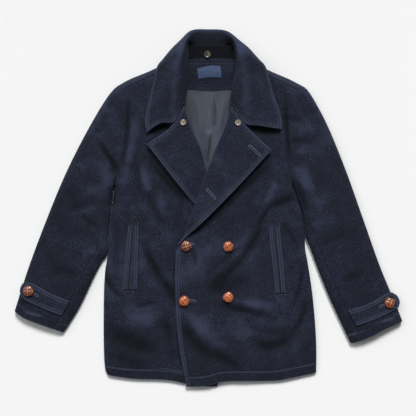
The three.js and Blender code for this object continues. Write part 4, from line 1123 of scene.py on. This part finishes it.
# %% Woven leather buttons
FRONT_PANEL = floor_of("front_left", 8)
CUFF_PANEL = {side: floor_of("cuff_tab_" + side, 8) for side in SIDES}
WOVEN = [  # node, panel it is sewn to, turn in degrees, crossing x, crossing y, tone, lean
    ("button_front_1", FRONT_PANEL, 20, 0.05, -0.05, 0.1, 0.3),
    ("button_front_2", FRONT_PANEL, 28, 0.2, -0.25, 0.72, 0.1),
    ("button_front_3", FRONT_PANEL, 40, 0.28, -0.3, 0.86, -0.05),
    ("button_front_4", FRONT_PANEL, 45, 0.25, 0, 0.95, 0),
    ("button_cuff_right", CUFF_PANEL["right"], 2, -0.12, 0.05, 0.2, 0.05),
    ("button_cuff_left", CUFF_PANEL["left"], 66, 0.2, -0.05, 0.3, -0.05),
]


def placed(name, panel):
    """The middle, the foot and the size of a packed button, with its foot on the cloth under it."""
    low, high = (np.array(corner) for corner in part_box(name))
    x, y = (low[:2] + high[:2]) / 2
    return x, y, float(panel(x / MM, y / MM)) * MM + 0.5 * MM, (high[0] - low[0]) / 2, high[2] - low[2]


def finished(made, node_name, material, slot):
    """Settles a new hard piece at the origin, dressed, on the coat's body, with the node that it stands for
    hidden.
    """
    bpy.ops.object.transform_apply(location=True, rotation=True, scale=True)
    made.data.materials.clear()
    made.data.materials.append(material)
    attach(made, BODY)
    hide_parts(node_name)


def woven_button(name, panel, turn, cross_x, cross_y, tone, lean):
    x, y, foot, radius, height = placed(name, panel)
    bpy.ops.object.select_all(action="DESELECT")
    bpy.ops.mesh.primitive_uv_sphere_add(segments=80, ring_count=56, radius=1)
    made = bpy.context.object
    made.name = "woven_" + name[7:]
    bpy.ops.object.shade_smooth()
    mesh = made.data
    p = np.empty(len(mesh.vertices) * 3)
    mesh.vertices.foreach_get("co", p)
    p = p.reshape(-1, 3)
    cosine, sine = math.cos(math.radians(turn)), math.sin(math.radians(turn))
    a = (p[:, 0] - cross_x) * cosine + (p[:, 1] - cross_y) * sine
    b = (p[:, 1] - cross_y) * cosine - (p[:, 0] - cross_x) * sine
    upper = smooth(-0.35, 0.1, p[:, 2])
    ring = np.abs(a) + np.abs(b)
    bump = lambda t, width: np.exp(-((t / width) ** 2))
    edge = np.maximum.reduce([bump(a, 0.075), bump(b, 0.075), bump(ring - 1.12, 0.06)]) * upper
    gap = np.maximum.reduce([bump(a - np.sign(b) * 0.15, 0.05), bump(b + np.sign(a) * 0.15, 0.05),
                             bump(ring - 1.24, 0.05)]) * upper
    crown = smooth(0, 0.45, np.minimum(np.abs(a), np.abs(b)))
    grow = 1 + (0.05 * crown + 0.035 * edge - 0.06 * gap) * upper
    z = np.where(p[:, 2] > 0, 0.38 + 0.62 * p[:, 2] * grow, 0.38 - 0.38 * np.minimum(1, -1.35 * p[:, 2]))
    around = np.arctan2(b, a)
    knobs = 0.03 * np.cos(4 * around + 9 * tone) + 0.022 * np.cos(3 * around + 5 * tone)
    flat = p[:, :2] * (0.95 + 0.95 * (grow - 1) + knobs)[:, None]
    z = z + lean * flat[:, 0] * upper * 0.35
    out = np.column_stack([x + flat[:, 0] * radius, y + flat[:, 1] * radius, foot + z * height])
    mesh.vertices.foreach_set("co", out.ravel())
    # The gaps between the straps carry painted shade, and the proud edges wear.
    for label, values in (("rim", edge), ("groove_shade", gap * (1 - edge)), ("tone", np.full(len(p), tone))):
        mesh.attributes.new(label, "FLOAT", "POINT").data.foreach_set("value", values.astype(np.float32))
    mesh.update()
    finished(made, name, leather, "button_leather")


for row in WOVEN:
    woven_button(*row)
print("woven buttons", len(WOVEN))

# %% [markdown]
# The small buttons are turned from horn: a disc with a raised rim, a hollow and four holes. The disc is
# cut as on a lathe, with an inset and a pressed face, and the holes are drilled with a boolean.

# %% Horn buttons
HORN = [("button_lapel_right", floor_of("lapel_right", 4), horn, "horn", 30),
        ("button_lapel_left", floor_of("lapel_left", 4), horn, "horn", -12),
        ("button_neck", floor_of("collar_stand", 4), dark_horn, "dark_horn", 10)]


def drilled(made, x, y, z, radius, turn):
    """Four holes through a button, on a small circle round its middle."""
    for quarter in range(4):
        angle = math.radians(turn + 90 * quarter)
        place = (x + radius * 0.26 * math.cos(angle), y + radius * 0.26 * math.sin(angle), z)
        bpy.ops.mesh.primitive_cylinder_add(vertices=20, radius=radius * 0.12, depth=0.02, location=place)
        drill = bpy.context.object
        hole = made.modifiers.new("hole", "BOOLEAN")
        hole.object, hole.operation, hole.solver = drill, "DIFFERENCE", "EXACT"
        bpy.context.view_layer.objects.active = made
        bpy.ops.object.modifier_apply(modifier=hole.name)
        bpy.data.objects.remove(drill)


for name, panel, material, slot, turn in HORN:
    x, y, foot, radius, height = placed(name, panel)
    bpy.ops.object.select_all(action="DESELECT")
    bpy.ops.mesh.primitive_cylinder_add(vertices=56, radius=radius, depth=height,
                                        location=(x, y, foot + height / 2))
    made = bpy.context.object
    made.name = "turned_" + name[7:]
    bpy.ops.object.mode_set(mode="EDIT")
    bpy.ops.mesh.select_all(action="DESELECT")
    bm = bmesh.from_edit_mesh(made.data)
    for face in bm.faces:
        face.select = face.normal.z > 0.9
    bmesh.update_edit_mesh(made.data)
    bpy.ops.mesh.inset(thickness=radius * 0.2)
    bpy.ops.mesh.inset(thickness=radius * 0.1, depth=-height * 0.28)
    bpy.ops.object.mode_set(mode="OBJECT")
    bevel = made.modifiers.new("bevel", "BEVEL")
    bevel.width, bevel.segments, bevel.limit_method = height * 0.2, 3, "ANGLE"
    bpy.ops.object.modifier_apply(modifier=bevel.name)
    drilled(made, x, y, foot + height / 2, radius, turn)
    bpy.ops.object.select_all(action="DESELECT")
    made.select_set(True)
    bpy.context.view_layer.objects.active = made
    bpy.ops.object.shade_smooth_by_angle(angle=math.radians(35))
    finished(made, name, material, slot)
print("horn buttons", len(HORN))

# %% [markdown]
# Thread holds it all together. Each stitch is a short spindle of thread whose ends dip into the cloth.
# The rows run beside the edges, in the grooves that the shells already have. A stitch drawn in the
# material would vanish from the side, so each one is a small mesh of a few faces.

# %% Stitches
PITCH, STITCH = 3.5, 2.7


def sew(name, ends, radius, material):
    """One piece of thread made of stitches, each from a start to an end in millimetres."""
    start, end = ends[:, 0], ends[:, 1]
    along = end - start
    side = np.cross(along, [0.0, 0.0, 1.0])
    side /= np.maximum(np.linalg.norm(side, axis=1, keepdims=True), 1e-6)
    up = np.cross(side, along)
    up /= np.linalg.norm(up, axis=1, keepdims=True)
    angles = np.radians([0, 72, 144, 216, 288])
    rings = []
    for share, thick, lift in ((0, 0.35, -0.3), (0.5, 1, 0.35), (1, 0.35, -0.3)):
        middle = start + along * share + up * lift * radius
        ring = (side[:, None] * np.cos(angles)[None, :, None] + up[:, None] * np.sin(angles)[None, :, None])
        rings.append(middle[:, None] + ring * radius * thick)
    verts = np.stack(rings, 1).reshape(-1, 3) * MM
    one = []
    for r in range(2):
        one += [(r * 5 + i, r * 5 + (i + 1) % 5, (r + 1) * 5 + (i + 1) % 5, (r + 1) * 5 + i)
                for i in range(5)]
    faces = [tuple(15 * n + i for i in quad) for n in range(len(ends)) for quad in one]
    faces += [tuple(15 * n + i for i in cap) for n in range(len(ends))
              for cap in ((4, 3, 2, 1, 0), (10, 11, 12, 13, 14))]
    mesh = bpy.data.meshes.new(name)
    mesh.from_pydata(verts.tolist(), [], faces)
    tidy = bmesh.new()
    tidy.from_mesh(mesh)
    bmesh.ops.recalc_face_normals(tidy, faces=tidy.faces)
    tidy.to_mesh(mesh)
    tidy.free()
    mesh.shade_smooth()
    made = bpy.data.objects.new(name, mesh)
    bpy.context.scene.collection.objects.link(made)
    mesh.materials.append(material)
    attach(made, BODY)
    print(f"{name}: {len(ends)} stitches")


def row_of_stitches(path, pitch=PITCH, length=STITCH):
    """Starts and ends of stitches along a path of points."""
    run = np.concatenate([[0], np.cumsum(np.linalg.norm(np.diff(path, axis=0), axis=1))])
    starts = np.arange(0, run[-1] - length, pitch)
    at = lambda here: np.stack([np.interp(here, run, path[:, k]) for k in range(3)], axis=1)
    return np.stack([at(starts), at(starts + length)], axis=1)


def stitched_edge(name, edge, distance):
    """The line on a shell's upper face that runs at a distance from one of its edges."""
    part = shells[name]
    gap, face, way = part["gaps"][edge], part["face"], part["inward"]
    others = [g for n, g in enumerate(part["gaps"]) if n != edge]
    if edge < 2:
        gap, face, way, others = gap.T, face.swapaxes(0, 1), way.swapaxes(0, 1), [g.T for g in others]
    kept = []
    for i in range(len(gap)):
        order = np.argsort(gap[i])
        read = lambda values: np.interp(distance, gap[i][order], values[i][order])
        inside = min(read(g) for g in others)
        if read(way[..., 2]) < -0.25 and inside > 4:
            kept.append([read(face[..., k]) for k in range(3)])
    return np.array(kept) + [0, 0, 0.15]


rows = [row_of_stitches(path) for name, part in shells.items() for edge, distance, _ in part["stitches"]
        if name != "back" and len(path := stitched_edge(name, edge, distance)) > 3]
sew("topstitching", np.concatenate(rows), 0.42, thread)

# %% [markdown]
# A buttonhole is a slit with close stitches on each side, a round eye where the button's shank sits and a
# bar at its far end. The slit is laid on as a black strip of painted shade, because one cut through the
# cloth would be too narrow to see into. Small sewn triangles hold the ends of the pockets.

# %% Buttonholes and pocket ends
SLIT_EDGE, SLIT_RIM = 1.4, 2.9  # where the stitches beside a slit start and end, from its middle
HOLES = [  # panel, eye end x y, far end x y
    ("lapel_left", 121, 126, 97, 148), ("lapel_left", 15, 23, -4, 44),
    ("front_left", -37, -86, -63, -84), ("front_left", -32, -222, -68, -219),
    ("cuff_tab_right", -408, -209, -438, -195), ("cuff_tab_left", 409, -235, 440, -223),
]
TRIANGLES = [  # front, then three corners, the first the point
    ("right", -177, -18.7, -187.7, -38.6, -167, -37.6), ("right", -191, -217, -206, -198, -176, -199),
    ("left", 155, -21, 139, -42, 172, -41), ("left", 171, -227, 160, -207.5, 184, -206),
]
TOPS = {name: floor_of(name) for name in
        ["lapel_left", "front_left", "front_right", "cuff_tab_right", "cuff_tab_left"]}


def on_cloth(panel, points, lift=0.1):
    """Points of a plan lifted onto a panel's upper face."""
    points = np.asarray(points, float)
    return np.dstack([points[..., 0], points[..., 1], TOPS[panel](points[..., 0], points[..., 1]) + lift])


for number, (panel, ex, ey, fx, fy) in enumerate(HOLES, 1):
    way = np.array([fx - ex, fy - ey], float)
    length = np.hypot(*way)
    way /= length
    off = np.array([-way[1], way[0]])
    eye, far = np.array([ex, ey], float), np.array([fx, fy], float)
    place = np.arange(2.4, length, 0.7)[:, None]
    ends = [np.stack([eye + way * place + off * side * SLIT_EDGE, eye + way * place + off * side * SLIT_RIM], 1)
            for side in (-1, 1)]
    turns = np.radians(np.arange(50, 311, 26) + np.degrees(np.arctan2(way[1], way[0])))[:, None]
    spoke = np.hstack([np.cos(turns), np.sin(turns)])
    ends.append(np.stack([eye + spoke * 1.3, eye + spoke * SLIT_RIM], 1))
    ends.append(np.stack([far + off * np.array([[-2.1], [-1.2]]) + way * [[0.4], [0.9]],
                          far + off * np.array([[1.2], [2.1]]) + way * [[0.4], [0.9]]], 1))
    ends = np.concatenate(ends)
    sew(f"buttonhole_{number}", on_cloth(panel, ends, 0.25).reshape(-1, 2, 3), 0.45, hole_thread)
# Near-black strips of painted shade in the buttonhole slits.
slits = [on_cloth(h[0], mix(np.array(h[1:3]), np.array(h[3:5]), np.linspace(0, 1, 14)[:, None])[None], 0.3)[0]
         for h in HOLES]
sew("buttonhole_slits", np.concatenate([row_of_stitches(path, 2, 4) for path in slits]), 1.6, slit_shade_black)
rows = []
for side, *corners in TRIANGLES:
    loop = np.reshape(corners + corners[:2], (-1, 2))
    for a, b in zip(loop, loop[1:]):
        path = on_cloth("front_" + side, mix(a, b, np.linspace(0, 1, 12)[:, None])[None])[0]
        rows.append(row_of_stitches(path, 2.6, 2.1))
sew("pocket_ends", np.concatenate(rows), 0.6, thread)
